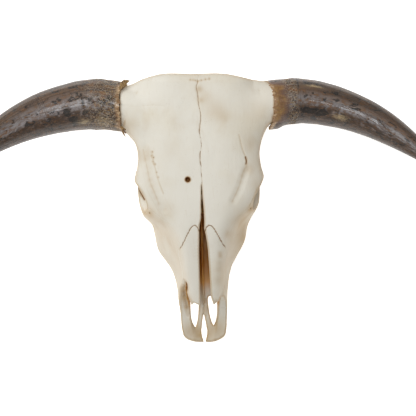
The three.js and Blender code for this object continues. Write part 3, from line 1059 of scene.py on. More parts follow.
@dataclass(frozen=True)
class Bar:
    """A bar along a curve, with an oval section."""

    line: Outline
    sizes: Outline
    blend: float
    square: tuple[float, float] = (1.0, 1.0)  # how round its section is at each end, below 1 for squarer
    count: ClassVar[int] = 60  # rings along it
    facets: ClassVar[int] = 64  # points round each ring

    def rings(self, side: int) -> Array:
        """Makes the bar's rings on one side of the skull.

        Args:
            side: 1 for the left and -1 for the right.

        Returns:
            Rings by points by coordinates.
        """
        keys = np.asarray(self.line, float) * (side, 1, 1)
        path = evenly(curve(keys, 24), np.linspace(0, 1, self.count))
        run = keys[-1] - keys[0]
        steep = abs(run[2]) > 0.7 * np.linalg.norm(run)
        up = np.array([0, 1, 0] if steep else [0, 0, 1], float)
        along = np.gradient(path, axis=0)
        along /= np.linalg.norm(along, axis=1)[:, None]
        across = np.cross(along, up)
        across /= np.linalg.norm(across, axis=1)[:, None]
        over = np.cross(across, along)
        places = np.linspace(0, 1, len(self.sizes))
        table = np.column_stack([places, np.asarray(self.sizes, float) / 2])
        half = stations(table, np.linspace(0, 1, self.count))
        angle = np.linspace(0, 2 * np.pi, self.facets, endpoint=False)
        power = np.linspace(*self.square, self.count)[:, None]
        u, v = (np.sign(value) * np.abs(value) ** power for value in (np.cos(angle), np.sin(angle)))
        wide = across[:, None] * (half[:, :1] * u)[..., None]
        high = over[:, None] * (-half[:, 1:] * v)[..., None]
        return path[:, None] + wide + high


@dataclass(frozen=True)
class Ball:
    """An ellipsoid, by its middle, its radii, its turn about Z and its lean about Y."""

    middle: Sequence[float]
    radii: Sequence[float]
    turn: float
    lean: float
    blend: float

    def patch(self, clay: Clay, side: int) -> Patch:
        """The ellipsoid on one side of the skull."""
        x, y, z = self.middle
        return clay.ball((side * x, y, z), self.radii, side * self.turn, side * self.lean)


SIDES = {"left": 1, "right": -1}
HORN_EDGES = {1: 138.2, -1: 143.0}  # where the bone ends under the horn sheaths, by side
BLOCK = ((-152, -16, -216), (150, 508, 18))  # the corners of the skull's clay


@dataclass
class Skull:
    """The bones of the skull, worked as one body and parted along the sutures."""

    # Half sections: y, then the roof, dorsal edge, upper side, lower side, lower margin and keel.
    sections: Outline = (
        (-12, -80, 18, -81, 33, -85, 39.5, -91, 26, -99, -98),
        (-4, -78, 18, -79, 34, -83, 40.5, -90, 27, -99, -97),
        (22, -60, 20, -62, 34.5, -72, 42.6, -87, 28, -101, -98),
        (60, -38, 20, -41, 34, -56, 43.6, -82, 30, -106, -101),
        (100, -29, 24, -31, 39, -52, 47, -80, 36, -113, -107),
        (140, -19.5, 29, -22, 46, -52, 59, -88, 49, -129, -116),
        (180, -10.5, 33, -13, 60, -52, 82, -96, 59, -139, -125),
        (215, -3.5, 40, -6, 72, -42, 90.5, -96, 64, -147, -133),
        (240, -1, 50, -4.5, 87, -28, 104, -86, 67, -152, -138),
        (262, 0, 60, -4, 98, -21, 110.5, -85, 67, -157, -142),
        (285, 0, 68, -4, 111, -19, 113, -84, 60, -156, -144),
        (305, 0, 74, -4, 118.5, -23, 112, -80, 46, -142, -143),
        (325, 0, 76, -4, 115.5, -24, 96, -76, 38, -138, -146),
        (350, 0, 78, -4, 113.5, -25, 86, -78, 40, -138, -148),
        (375, 0, 80, -4, 118, -28, 90, -90, 50, -140, -150),
        (400, 0, 84, -5, 124, -34, 102, -108, 66, -146, -154),
        (430, 0, 87, -6, 126, -42, 113, -122, 74, -152, -158),
        (460, 0, 86, -6, 124, -46, 112, -124, 74, -152, -156),
        (510, 0, 82, -6, 118, -46, 104, -118, 66, -146, -150),
    )
    # The nasal cavity: y, roof, half width and floor.
    cavity: Outline = (
        (-30, -60, 20, -92), (20, -50, 24, -92), (60, -44, 26, -94.5), (100, -36, 31, -99),
        (140, -26, 34, -107), (180, -17, 36, -116), (215, -10.5, 30, -112), (240, -14, 20, -90),
    )
    hollows: Mapping[str, Ball] = field(
        default_factory=lambda: {
            "cheek": Ball((118, 296, -144), (52, 72, 43), -8, 0, 12),
            "pterygoid": Ball((70, 330, -150), (36, 46, 40), 0, 0, 9),
        }
    )
    orbit: Ball = Ball((116, 275, -52), (66, 34, 29.6), -24, 8, 4)
    choanae: Ball = Ball((0, 312, -150), (17, 30, 44), 0, 0, 4)
    foramen_magnum: Ball = Ball((0, 452, -122), (19, 44, 18), 0, 0, 5)
    knobs: Mapping[str, Ball] = field(
        default_factory=lambda: {
            "condyle": Ball((32, 446, -143), (20, 24, 26), 30, -14, 5),
            "bulla": Ball((51, 392, -156), (13, 20, 22), 0, 8, 5),
            "jaw_joint": Ball((80, 388, -121), (25, 17, 9), 6, 0, 7),
        }
    )
    temporal_fossa: Bar = Bar(
        ((66, 300, -84), (92, 330, -74), (114, 366, -70), (120, 410, -76), (124, 450, -80), (126, 520, -82)),
        ((38, 40), (70, 54), (98, 66), (104, 60), (106, 60), (104, 60)),
        7,
    )
    bars: Mapping[str, Bar] = field(
        default_factory=lambda: {
            "zygomatic_arch": Bar(
                (
                    (79, 214, -94), (94, 236, -89), (106, 258, -87), (110, 284, -87), (109, 312, -90),
                    (106, 345, -97), (102, 380, -106), (97, 408, -114),
                ),
                ((14, 14), (13, 20), (13, 22), (13, 28), (12, 24), (12, 22), (14, 20), (18, 18)),
                6,
            ),
            "jugular_process": Bar(
                ((70, 432, -136), (74, 430, -170), (71, 421, -216)), ((30, 44), (17, 30), (12, 16)), 6
            ),
            "hamulus": Bar(
                ((24, 296, -132), (25, 310, -152), (22, 318, -176)), ((5, 38), (4, 24), (4, 9)), 3
            ),
        }
    )
    postorbital: Bar = Bar(
        ((98, 314, -32), (110, 319, -54), (107, 319, -92)), ((30, 16), (19, 12), (28, 12)), 5
    )
    keel: Bar = Bar(
        ((0, 320, -140), (0, 370, -150), (0, 420, -156), (0, 440, -154)),
        ((30, 26), (40, 26), (56, 26), (66, 24)),
        7,
    )
    root_line: Outline = (
        (60, 423, -45), (98, 428, -45), (118, 434, -45), (131, 438.8, -45), (147, 438.2, -45),
    )
    root_sizes: Outline = ((116, 67), (122, 76), (106, 81), (83.5, 83), (79.5, 84))
    root_blend: float = 12
    # How far the poll falls away at the sides: x, and millimetres forwards.
    poll: Outline = (
        (-160, 34), (-128, 21), (-112, 14.4), (-98, 10.1), (-84, 5.2), (-70, 1.6), (-56, 0), (0, 0),
        (50, 0), (64, 2.1), (78, 5.1), (93, 9.0), (108, 12.6), (130, 17), (160, 30),
    )
    # The nuchal surface: z, and millimetres forwards of the poll.
    nuchal: Outline = (
        (-180, 60), (-150, 54), (-120, 41), (-95, 33), (-70, 18), (-45, 7), (-22, 0), (-8, 3), (1, 12),
        (20, 26),
    )
    # The nasal opening on the right, seen from the side: y and z.
    nose_opening: Outline = (
        (-40, 30), (66, 30), (66, -44), (88, -41), (107, -40), (100, -54), (84, -66), (62, -76),
        (38, -83), (12, -88), (-40, -91),
    )
    # The same on the left, where the bones meet further forwards.
    nose_opening_left: Outline = (
        (-40, 30), (66, 30), (66, -44), (76, -43), (86, -44), (84, -57), (76, -67), (62, -76), (38, -83),
        (12, -88), (-40, -91),
    )
    # Outlines of x and y that are cut from above: between the nasal bones, beyond their tips, one
    # side of the cleft between the incisive bones, and between their palatine processes.
    nasal_gap: Outline = (
        (1.5, 293), (1.1, 284), (0.6, 268), (0.2, 248), (-0.6, 232), (-3.3, 222), (-4.6, 211), (-5, 200),
        (-6, 150), (-7.4, 60), (15, 60), (13.3, 85), (9, 175), (6.4, 200), (5.2, 206), (3.2, 213),
        (3.8, 221), (3.9, 232), (3.5, 248), (2.7, 268), (2.2, 284), (1.9, 293),
    )
    nasal_tips: Outline = (
        (-60, 50), (-36, 104), (-28, 86), (-23.5, 71), (-18.5, 77), (-12, 73.5), (-7, 72), (0, 80),
        (13.3, 85), (17.6, 71), (22, 75), (27.5, 78), (33, 90), (39, 106), (60, 50),
    )
    cleft: Outline = (
        (-1.6, -18), (-1.3, -3), (-2.2, 1), (-4.2, 8), (-5.0, 14), (-5.0, 20.5), (-3.6, 22),
    )
    slot: Outline = (
        (-4.9, 18), (-3.6, 33), (-1.6, 44), (-0.7, 48), (0.1, 48), (1.0, 44), (3.0, 33), (4.5, 18),
    )
    # The suture between the two halves: y and x.
    midline: Outline = (
        (-20, 0), (262, 0), (287, 1.2), (300, 2.0), (325, 1.4), (346, 0.2), (365, 3.4), (390, 0.6),
        (415, 3.8), (443, 0.4), (459, -0.6), (470, -2.6), (480, 0.2), (510, 1.0),
    )
    # The palatine fissures, right and left, as x and y.
    fissures: Sequence[Outline] = (
        (
            (-16.7, 24.5), (-13.4, 33.4), (-11.6, 42), (-10.2, 53), (-8.8, 68), (-8.6, 80), (-12, 88),
            (-20, 88), (-24.4, 80), (-24.6, 68), (-24.3, 50), (-23.4, 42), (-21.4, 33.4),
        ),
        (
            (18.2, 27), (14.8, 33.4), (12.6, 42), (11.2, 50), (9.6, 66), (9.1, 78), (11, 82.5),
            (20, 82.5), (24.8, 76), (25, 62), (24.6, 50), (23.4, 42), (21.6, 34.5),
        ),
    )
    muzzle: Sequence[float] = (42.8, 17, 21.6)  # half width, where its curve begins, and depth
    # The vomer, as y and z.
    vomer: Outline = ((66, -94), (92, -81), (140, -71), (232, -56), (232, -122), (140, -112), (70, -103))
    bolt_hole: Sequence[float] = (-23.4, 303.4, 4.3, 14)  # x, y, radius and depth
    # The shoulders between the poll and the horns.
    shoulders: Sequence[Outline] = (
        ((110, 469, -25), (120, 468.5, -28), (130, 466.5, -36)),
        ((-98, 475.5, -24), (-113, 472, -27), (-130, 465, -36)),
    )
    # What is missing in front of the left horn's root, as x and y.
    notch: Outline = ((122, 372), (123.5, 384.5), (128.5, 396), (133.5, 400.5), (150, 402), (150, 372))

    # Borders of the bones, as outlines of y and z but for the nasal's first, of x and y.
    nasal: Outline = (
        (-1, 209), (5, 209), (8.4, 216.5), (13, 220.5), (17.5, 218.8), (22, 212.6), (27.5, 203),
        (32.3, 193), (37.5, 184), (42.5, 176.5), (43, 168), (40, 140), (35, 104), (40, 40), (-1, 40),
    )
    nasal_depth: Outline = (
        (30, -52), (70, -52), (106, -44), (140, -36), (180, -29), (225, -20), (225, 20), (30, 20),
    )
    frontal: Outline = (
        (160, 20), (160, -22), (196, -19), (222, -17), (252, -23), (262, -56), (320, -58), (360, -50),
        (400, -78), (440, -84), (466, -66), (530, -66), (530, 20),
    )
    horn_core: Outline = ((350, 20), (350, -100), (530, -100), (530, 20))
    lacrimal: Outline = (
        (194, -34), (208, -13), (222, -15), (252, -22), (262, -56), (262, -68), (240, -70), (214, -76),
        (200, -62),
    )
    zygomatic: Outline = (
        (212, -86), (214, -76), (240, -70), (262, -68), (290, -66), (296, -50), (336, -48), (350, -88),
        (342, -116), (230, -112),
    )
    incisive: Outline = ((-30, -150), (56, -150), (64, -104), (86, -70), (104, -46), (112, 0), (-30, 0))
    maxilla: Outline = ((40, -220), (40, 30), (290, 30), (290, -220))
    occipital: Outline = (
        (540, -66), (466, -66), (446, -108), (410, -146), (392, -150), (372, -156), (372, -240),
        (540, -240),
    )
    temporal: Outline = ((330, 20), (330, -240), (540, -240), (540, 20))
    # How far from the middle some of these bones begin.
    inner: Mapping[str, float] = field(
        default_factory=lambda: {"horn_core": 116, "lacrimal": 30, "zygomatic": 80, "temporal": 58}
    )

    # Grooves in the bone: x and y of their points, radius, depth, and how far off the painted shade along
    # them keeps.
    grooves: ClassVar[Sequence[tuple[Outline, float, float, float]]] = (
        (((72.2, 382), (75, 369), (78.8, 355), (83.5, 343)), 1.2, 0.4, 1.3),
        (((84.0, 341), (85.2, 336.5), (85.4, 332), (84.8, 328.5)), 0.95, 2.2, -0.1),
        (((88, 318), (80, 304), (72, 284), (60, 262)), 7.0, -0.3, 2.9),
        (((-104, 362), (-99, 336), (-91, 306), (-82, 276), (-70, 250)), 8.0, 0.2, 2.7),
        (((-138, 441), (-112, 438), (-86, 440), (-60, 437)), 1.0, 0.2, 2.5),
        (((0.5, 40), (1.5, 55), (3, 78)), 1.6, 1.3, 1.3),
        (((-35.5, 111), (-35, 104), (-33.6, 91), (-31.5, 77), (-30, 61), (-28, 50)), 5.5, 4.0, 0.5),
        (((-116, 293), (-110.5, 281), (-104.5, 269)), 1.3, 1.6, 0.3),
        (((109, 284), (100, 268), (91, 251)), 1.3, 0.6, 1.1),
    )
    # Lines of painted shade on the bone, in tan: x and y of their points, half width, and how far off the
    # painted shade keeps.
    shade_lines: ClassVar[Sequence[tuple[Outline, float, float]]] = (
        (((86, 325), (81, 319), (76.5, 309), (70.5, 290), (62, 273), (56, 261)), 2.4, 3.2),
        (((-103.6, 361), (-100, 342), (-95.3, 319), (-91, 298), (-85, 284), (-77, 261)), 2.6, 3.5),
        (((-86, 351), (-84, 334), (-81.5, 325), (-77, 305), (-72, 290), (-68, 279)), 1.1, 1.8),
        (((39.5, 106), (38.5, 97), (36.4, 88)), 1.2, 1.8),
    )
    # Pits in the bone: x, y, radius and depth.
    pits: ClassVar[Outline] = (
        (-93, 244, 1.7, 3.0), (93.3, 246.5, 1.7, 3.0), (-86.3, 355.5, 1.3, 1.3), (-88, 348, 1.0, 1.0),
        (-84.5, 345, 1.4, 1.7), (-85.5, 338, 1.1, 1.2), (-82, 333, 1.4, 1.6), (-79.5, 318, 1.0, 1.0),
        (-77, 309, 1.2, 1.2), (-12.6, 483.6, 1.0, 1.2), (-8, 483.2, 0.9, 1.1), (-3.8, 482.4, 1.1, 1.3),
        (0.6, 480.6, 1.5, 1.6), (7, 482.2, 1.2, 1.4), (14.4, 483.6, 1.3, 1.5), (21.3, 484.4, 1.2, 1.4),
    )
    # Stains and painted shade on the upper side: x, y, radius and strength.
    stains: ClassVar[Outline] = (
        (30, 427, 20, 0.34), (46, 414, 12, 0.2), (12, 452, 12, 0.26), (3, 466, 6, 0.6), (5, 446, 5, 0.4),
        (31.3, 168, 4, 0.42), (31.6, 162, 4, 0.5), (29.5, 150, 6, 0.24), (28, 138, 7, 0.24),
        (26, 118, 9, 0.24), (93, 246, 8, 0.5), (-93, 244, 9, 0.45), (-126, 405, 16, 0.3),
        (96, 366, 14, 0.35), (92, 318, 10, 0.3), (-100, 350, 12, 0.35), (-62, 250, 14, 0.22),
        (70, 226, 18, 0.3), (78, 190, 16, 0.34), (48, 202, 9, 0.3), (-96, 214, 12, 0.25),
        (-52, 356, 16, 0.12), (112, 420, 22, 0.16), (0, 490, 30, 0.16), (20, 20, 22, 0.55),
        (-20, 18, 22, 0.8), (0, 10, 12, 0.5), (14, 60, 8, 0.45), (-14, 60, 8, 0.45), (58, 150, 26, 0.18),
        (56, 108, 18, 0.2), (90, 214, 20, 0.2), (112, 330, 16, 0.2), (104, 290, 14, 0.22),
        # Painted shade from here on: in the right nasal notch, then along the shallow grooves on both sides
        # of the forehead.
        (-35, 98, 6, 0.9), (-33, 84, 7, 0.9), (-30, 66, 5, 0.7), (-100, 342, 5, 0.22),
        (-97, 329, 5, 0.22), (-95, 317, 5, 0.26), (-92, 305, 5.5, 0.3), (-89, 294, 5.5, 0.3),
        (-86, 283, 5.5, 0.3), (-82, 272, 5, 0.25), (-78, 261, 5, 0.2), (85, 325, 4.5, 0.28),
        (80, 316, 5, 0.3), (76, 307, 5, 0.3), (72, 296, 5, 0.26), (68, 284, 5, 0.22), (62, 273, 5, 0.2),
        (57, 262, 5, 0.18),
    )
    # How far each flank stands out of an even skull: y, and millimetres outwards.
    left_flank: ClassVar[Outline] = (
        (-20, 0), (100, 0), (125, -2), (150, -3.6), (170, -3.6), (192, -2.5), (214, -5), (230, -5),
        (248, -2.6), (270, -3.4), (300, -4.7), (330, -4.5), (350, -3.8), (375, -2.8), (400, -1.2),
        (425, 0), (520, 0),
    )
    right_flank: ClassVar[Outline] = (
        (-20, 0), (60, 1), (78, 2.6), (96, 1.6), (125, 0.5), (150, 2.5), (167, 4.5), (185, 2), (205, -1),
        (222, -3), (238, 3), (255, 1), (275, 0), (520, 0),
    )
    # Holes at the sides: where they open, which way they run in, and their radius.
    side_holes: ClassVar[Sequence[tuple[Sequence[float], Sequence[float], float]]] = (
        ((52, 143, -97), (-14, 24, -2), 3.8),
        ((31, 238, -146), (-2, -14, 12), 3.4),
        ((60, 436, -150), (-16, -6, 10), 4.0),
        ((88, 404, -104), (-14, 2, 6), 4.2),
        ((40, 470, -100), (-4, -16, -2), 2.4),
    )

    def clay(self) -> Clay:
        """Works the whole skull.

        Returns:
            The clay.
        """
        clay = Clay(*BLOCK, GRAIN)
        self._work_body(clay)
        self._work_openings(clay)
        self._work_joined_forms(clay)
        self._work_small_forms(clay)
        return clay

    def _both(self, clay: Clay, work: Callable[[Patch, float], None], form: Bar | Ball) -> None:
        """Adds or cuts a form on both sides.

        Args:
            clay: The clay.
            work: The clay's add or cut.
            form: The form, as on the left.
        """
        for side in SIDES.values():
            patch = clay.shell(form.rings(side)) if isinstance(form, Bar) else form.patch(clay, side)
            work(patch, form.blend)

    def _work_body(self, clay: Clay) -> None:
        """Makes the outer form and its large hollows.

        Args:
            clay: The clay that is worked.
        """
        places = np.arange(self.sections[0][0], 510.1, 4.0)
        rows = stations(self.sections, places)
        keys = np.zeros((len(places), 10, 3))
        keys[:, :, 1] = places[:, None]
        keys[:, 0, 2], keys[:, 5, 2] = rows[:, 0], rows[:, 9]
        for i in range(4):
            for key, side in ((i + 1, 1), (9 - i, -1)):
                keys[:, key, 0], keys[:, key, 2] = side * rows[:, 1 + 2 * i], rows[:, 2 + 2 * i]
        clay.add(clay.shell(curve(keys, 10, closed=True)))
        clay.cut(self._nasal_cavity(clay), 2)
        clay.cut(clay.prism(self.nose_opening, -80, 5, 0), 2)
        clay.cut(clay.prism(self.nose_opening_left, -5, 80, 0), 2)
        clay.cut(self._beyond_muzzle(clay), 5)
        clay.cut(self._behind_poll(clay), 6)
        self._both(clay, clay.cut, self.temporal_fossa)
        for hollow in self.hollows.values():
            self._both(clay, clay.cut, hollow)

    def _nasal_cavity(self, clay: Clay) -> Patch:
        """Shapes the nasal cavity.

        Args:
            clay: The clay that it is for.

        Returns:
            The cavity.
        """
        places = np.arange(-30, 240.1, 6.0)
        roof, half, floor = stations(self.cavity, places).T
        keys = np.zeros((len(places), 8, 3))
        keys[:, :, 1] = places[:, None]
        heights = (roof, roof - 6, (roof + floor) / 2, floor + 5, floor)
        widths = (0 * half, 0.85 * half, half, 0.85 * half, 0 * half)
        for i, (x, z) in enumerate(zip(widths, heights)):
            keys[:, i, 0], keys[:, i, 2] = x, z
            keys[:, -i % 8, 0], keys[:, -i % 8, 2] = -x, z
        return clay.shell(curve(keys, 8, closed=True))

    def _beyond_muzzle(self, clay: Clay) -> Patch:
        """Shapes all that lies in front of the rounded edge of the incisive bones.

        Args:
            clay: The clay that it is for.

        Returns:
            What is to be cut away.
        """
        half, begins, depth = self.muzzle
        turn = np.linspace(np.pi, 2 * np.pi, 40)
        arc = np.stack([half * np.cos(turn), begins + depth * np.sin(turn)], 1)
        keep = clay.prism([*arc, (60, 60), (60, 90), (-60, 90), (-60, 60)], -150, 60)
        front = clay.prism(((-80, -60), (80, -60), (80, 78), (-80, 78)), -150, 60)
        spread = np.full(clay.distance.shape, BAND, np.float32)
        spread[keep.window] = keep.distance
        return Patch(front.window, np.maximum(front.distance, -spread[front.window]))

    def _behind_poll(self, clay: Clay) -> Patch:
        """Shapes all that lies behind the nuchal surface.

        Args:
            clay: The clay that it is for.

        Returns:
            What is to be cut away.
        """
        window = clay.window((-150, 400, -216), (150, 508, 15), 0)
        x, y, z = clay.places(window)
        forwards = stations(self.poll, x[:, 0, 0]).astype(np.float32)[:, :, None]
        poll = SKULL_LENGTH - forwards - POLL_LEAN * x
        forward = stations(self.nuchal, clay.axes[2][window[2]])[:, 0].astype(np.float32)
        slope = np.gradient(forward, clay.grain)
        distance = (poll - forward - y) / np.sqrt(1 + slope**2)
        return Patch(window, np.clip(distance, -BAND, BAND))

    def _work_openings(self, clay: Clay) -> None:
        """Opens the palate and cuts the tips of the nasal bones.

        Args:
            clay: The clay that is worked.
        """
        for fissure in self.fissures:
            clay.cut(clay.prism(fissure, -150, -40), 2)
        other = [(-across, along) for across, along in reversed(self.cleft)]
        clay.cut(clay.prism([*self.cleft, *other], -130, -60), 1.5)
        clay.cut(clay.prism(self.slot, -130, -60), 1.5)
        clay.cut(clay.prism(self.nasal_tips, -48, 10), 1.2)

    def _work_joined_forms(self, clay: Clay) -> None:
        """Adds the arches, horn roots, processes and knobs, and opens what they would close.

        Args:
            clay: The clay that is worked.
        """
        for bar in self.bars.values():
            self._both(clay, clay.add, bar)
        for side in SIDES.values():
            outer = HORN_EDGES[side] - SUTURE / 2
            root = clay.shell(Bar(self.root_line, self.root_sizes, 0, (0.62, 1.0)).rings(side))
            x, _, _ = clay.places(root.window)
            root.distance = np.maximum(root.distance, side * x - outer)
            clay.add(root, self.root_blend)
            # The fillets reach beyond the edge of the horn sheath and are cut off there.
            window = clay.window((side * 150, 0, -216), (side * outer, 508, 15), 12)
            x, _, _ = clay.places(window)
            clay.distance[window] = np.maximum(clay.distance[window], side * x - outer)
        clay.cut(clay.prism(self.notch, -120, 10), 7)
        for shoulder in self.shoulders:
            clay.add(clay.rod(shoulder, (9, 9, 9)), 9)
        for knob in self.knobs.values():
            self._both(clay, clay.add, knob)
        clay.add(clay.shell(self.keel.rings(1)), self.keel.blend)
        self._both(clay, clay.cut, self.orbit)
        self._both(clay, clay.add, self.postorbital)
        self._work_ridges(clay)
        clay.add(clay.prism(self.vomer, -1.8, 1.8, 0), 2)
        clay.cut(clay.prism(self.nasal_gap, -60, 20), 0.8)
        clay.cut(self.choanae.patch(clay, 1), self.choanae.blend)
        clay.cut(self.foramen_magnum.patch(clay, 1), self.foramen_magnum.blend)

    def _work_ridges(self, clay: Clay) -> None:
        """Adds the rims, crests and tuberosities that stand out of the bones.

        Args:
            clay: The clay that is worked.
        """
        crest = ((58, 152, -98), (72, 184, -103), (86, 214, -101), (93, 232, -96))
        for side in SIDES.values():
            clay.add(clay.rod([(side * x, y, z) for x, y, z in crest], (3, 5, 5, 4)), 9)
            clay.add(clay.ball((side * 64, 176, -110), (9, 20, 9), side * -24), 9)
            line = ((side * 18, 474, -52), (side * 52, 468, -50), (side * 88, 452, -52))
            clay.add(clay.rod(line, (4, 3.5, 3)), 8)
        clay.add(clay.ball((0, 474, -58), (13, 9, 10)), 8)
        clay.add(clay.rod(((0, 470, -66), (0, 452, -96)), (3, 2)), 6)

    def _work_small_forms(self, clay: Clay) -> None:
        """Cuts the holes, grooves and pits, and roughens the bone.

        Args:
            clay: The clay that is worked.
        """
        x, y, radius, depth = self.bolt_hole
        top = clay.top(x, y)
        hole = clay.rod(((x, y, top + 6), (x + 0.5, y, top - depth)), (radius, radius * 0.9))
        clay.cut(hole, 0.8)
        clay.mark(hole, -0.5)
        for line, radius, depth, ease in self.grooves:
            flat = curve(np.asarray(line, float), 8)
            swell = np.sin(np.linspace(0.25, np.pi - 0.25, len(flat))) ** 0.5
            points = [(a, b, clay.top(a, b) + radius - depth * c) for (a, b), c in zip(flat, swell)]
            groove = clay.rod(points, [radius] * len(points))
            clay.cut(groove, radius)
            clay.mark(groove, ease)
        # Lines of painted shade, marked without a cut.
        for line, radius, ease in self.shade_lines:
            points = [(a, b, clay.top(a, b)) for a, b in curve(np.asarray(line, float), 8)]
            clay.mark(clay.rod(points, [radius] * len(points)), ease)
        for x, y, radius, depth in self.pits:
            top = clay.top(x, y)
            pit = clay.rod(((x, y, top + 2), (x, y, top - depth + radius)), (radius, radius * 0.7))
            clay.cut(pit, 1.2)
            clay.mark(pit, 0.2)
        for (x, y, z), (u, v, w), radius in self.side_holes:
            for side in SIDES.values():
                line = ((side * (x - u / 2), y - v / 2, z - w / 2), (side * (x + u), y + v, z + w))
                hole = clay.rod(line, (radius * 1.15, radius * 0.75))
                clay.cut(hole, 2.5)
                clay.mark(hole, 0.3)
        clay.find_bend()
        rough = clay.noise((46, 60, 40), 3) * 0.7 + clay.noise((14, 18, 12), 5) * 0.25
        rough += clay.noise((4.5, 7, 4.5), 7) * 0.07
        clay.distance += rough
        clay.trim_at_floor()

    def borders(self, clay: Clay) -> Sequence["Border"]:
        """Draws the regions of the bones, in the order in which they are parted.

        Args:
            clay: The clay that they part.

        Returns:
            The borders.
        """
        x, y, z = clay.places(clay.everywhere())
        wide = np.abs(x)
        teeth = clay.noise((5, 5, 5), 21) * 1.3 + clay.noise((2.4, 2.4, 2.4), 22) * 0.5

        def aside(outline: Outline, inner: float = -FAR) -> Array:
            """The distance to a region drawn from the side, from some way out of the middle."""
            return np.maximum(outline_distance(outline, y, z), inner - wide) + teeth

        nasal = outline_distance(self.nasal, wide, y)
        nasal = np.maximum(nasal, outline_distance(self.nasal_depth, y, z)) + teeth * 0.5
        frontal = np.minimum(aside(self.frontal), aside(self.horn_core, self.inner["horn_core"]))
        clear = smoothstep(180, 170, y) * 2.5
        return (
            Border("nasal", nasal, True, clear, 0.4, 0.7),
            Border("frontal", frontal, True, 2.0, middle=0.25),
            Border("lacrimal", aside(self.lacrimal, self.inner["lacrimal"]), True),
            Border("zygomatic", aside(self.zygomatic, self.inner["zygomatic"]), True),
            Border("incisive", aside(self.incisive), True, 4.0),
            Border("maxilla", aside(self.maxilla), True),
            Border("occipital", aside(self.occipital), False),
            Border("temporal", aside(self.temporal, self.inner["temporal"]), True),
        )

    def build(self, clay: Clay) -> list[bpy.types.Object]:
        """Parts the clay along its sutures and makes each bone's mesh.

        Args:
            clay: The whole skull.

        Returns:
            The bones.
        """
        x, y, _ = clay.places(clay.everywhere())
        bent = stations(self.midline, clay.axes[1])[:, 0].astype(np.float32)[None, :, None]
        middle = x - bent + clay.noise((3.5, 3.5, 3.5), 31) * 0.7
        rest = clay.distance
        seam = np.full(rest.shape, BAND, np.float32)
        skins = {}
        for border in self.borders(clay):
            piece = np.maximum(rest, border.distance + border.gap / 2)
            near = np.abs(border.distance) + border.faint
            if border.paired:
                left, right = part(piece, middle, 0.3, 0.6)
                skins[f"{border.name}_left"] = clay.skin(left)
                skins[f"{border.name}_right"] = clay.skin(right)
                ends = smoothstep(479, 484, y) + smoothstep(296, 289, y)
                close = np.abs(middle) + border.middle + ends * 3
                near = np.where(border.distance < 0.6, np.minimum(near, close), near)
            else:
                skins[border.name] = clay.skin(piece)
            seam = np.where(rest < 1.0, np.minimum(seam, near), seam)
            rest = part(rest, -border.distance, border.gap, border.sunk)[1]
        skins["sphenoid"] = clay.skin(rest)
        cavity = np.full(rest.shape, BAND, np.float32)
        gap = clay.prism(self.nasal_gap, -60, 20)
        _, along, height = clay.places(gap.window)
        roof = stations(self.sections, along[0, :, 0])[:, :1].astype(np.float32)
        gap.distance = np.maximum(gap.distance, height - roof + 2.2)
        for patch in (self._nasal_cavity(clay), gap):
            cavity[patch.window] = np.minimum(cavity[patch.window], patch.distance)
        fields = {"seam": seam, "mark": clay.marks, "bend": clay.bend}
        return [self._bone(clay, name, skin, fields, cavity) for name, skin in skins.items()]

    def _bone(
        self, clay: Clay, name: str, skin: tuple[Array, Array], fields: Mapping[str, Array], cavity: Array
    ) -> bpy.types.Object:
        """Makes one bone's mesh and keeps what its finish needs.

        Args:
            clay: The whole skull.
            name: The bone's name, which is its node's.
            skin: The bone's points and quads.
            fields: The grids that its finish reads as they are.
            cavity: The distances to the nasal cavity.

        Returns:
            The bone.
        """
        points, quads = skin
        bone = make_piece(name + "_bone", self._uneven(points), [quads])
        normals = normals_of(bone)
        # How enclosed each point is; the finish paints shade with it.
        reach = 6.0
        open_space = clay.read(clay.distance, points + normals * reach) / reach
        keep_values(bone, "hollow", np.clip(1 - open_space, 0, 1))
        for field_name, values in fields.items():
            keep_values(bone, field_name, clay.read(values, points))
        away = clay.read(cavity, points)
        faces_in = clay.read(cavity, points + normals * 2) < away - 0.8
        lining = smoothstep(4.0, 0.5, away) * np.where(faces_in | (away < 0.3), 1, 0)
        x, y, _ = points.T
        # Painted shade: the lining's brown is carried onto the side walls of the nasal opening, where they
        # lie in shade.
        shaded_walls = 0.6 * smoothstep(18, 26, np.abs(x)) * smoothstep(50, 85, y)
        keep_values(bone, "inside", lining * np.maximum(smoothstep(78, 150, y), shaded_walls))
        keep_values(bone, "stain", self._stain_and_shade(points, normals))
        hand_over(bone, Finish.BONE, [name])
        return bone

    def _uneven(self, points: Array) -> Array:
        """Moves the flanks out or in a little, as the two sides of a real skull differ.

        Args:
            points: Points of the bones.

        Returns:
            The moved points.
        """
        x, y, z = points.T
        rows = stations(self.sections, y)
        share = smoothstep(0.62, 0.97, np.abs(x) / rows[:, [3, 5]].max(1))
        left, right = (stations(table, y)[:, 0] for table in (self.left_flank, self.right_flank))
        return np.stack([x + share * np.where(x > 0, left, -right), y, z], 1)

    def _stain_and_shade(self, points: Array, normals: Array) -> Array:
        """How strongly the bone is stained or painted with shade at some points: painted shade on faces that
        turn from straight up and towards the animal's left, and spots of real stain and of painted shade.

        Args:
            points: The points.
            normals: Their normals.

        Returns:
            The strengths.
        """
        x, y, z = points.T
        # Painted shade: tan on faces that turn from straight up and towards the animal's left, the side away
        # from the key light.
        total = 0.4 * smoothstep(0.9, 0.4, normals[:, 2]) + 0.11 * smoothstep(0, 110, x)
        upper = smoothstep(-0.1, 0.4, normals[:, 2])
        for at_x, at_y, radius, strength in self.stains:
            total += strength * upper * np.exp(-((x - at_x) ** 2 + (y - at_y) ** 2) / radius**2)
        return total


@dataclass(frozen=True)
class Border:
    """The border of a bone: the distance to its region, and how its suture shows."""

    name: str
    distance: Array
    paired: bool
    faint: Any = 2.0  # how far the stain keeps off the suture, where it hardly shows
    gap: float = 0.1
    sunk: float = 0.12  # how deep the suture is
    middle: float = 1.2  # how far the stain keeps off the suture of the two halves


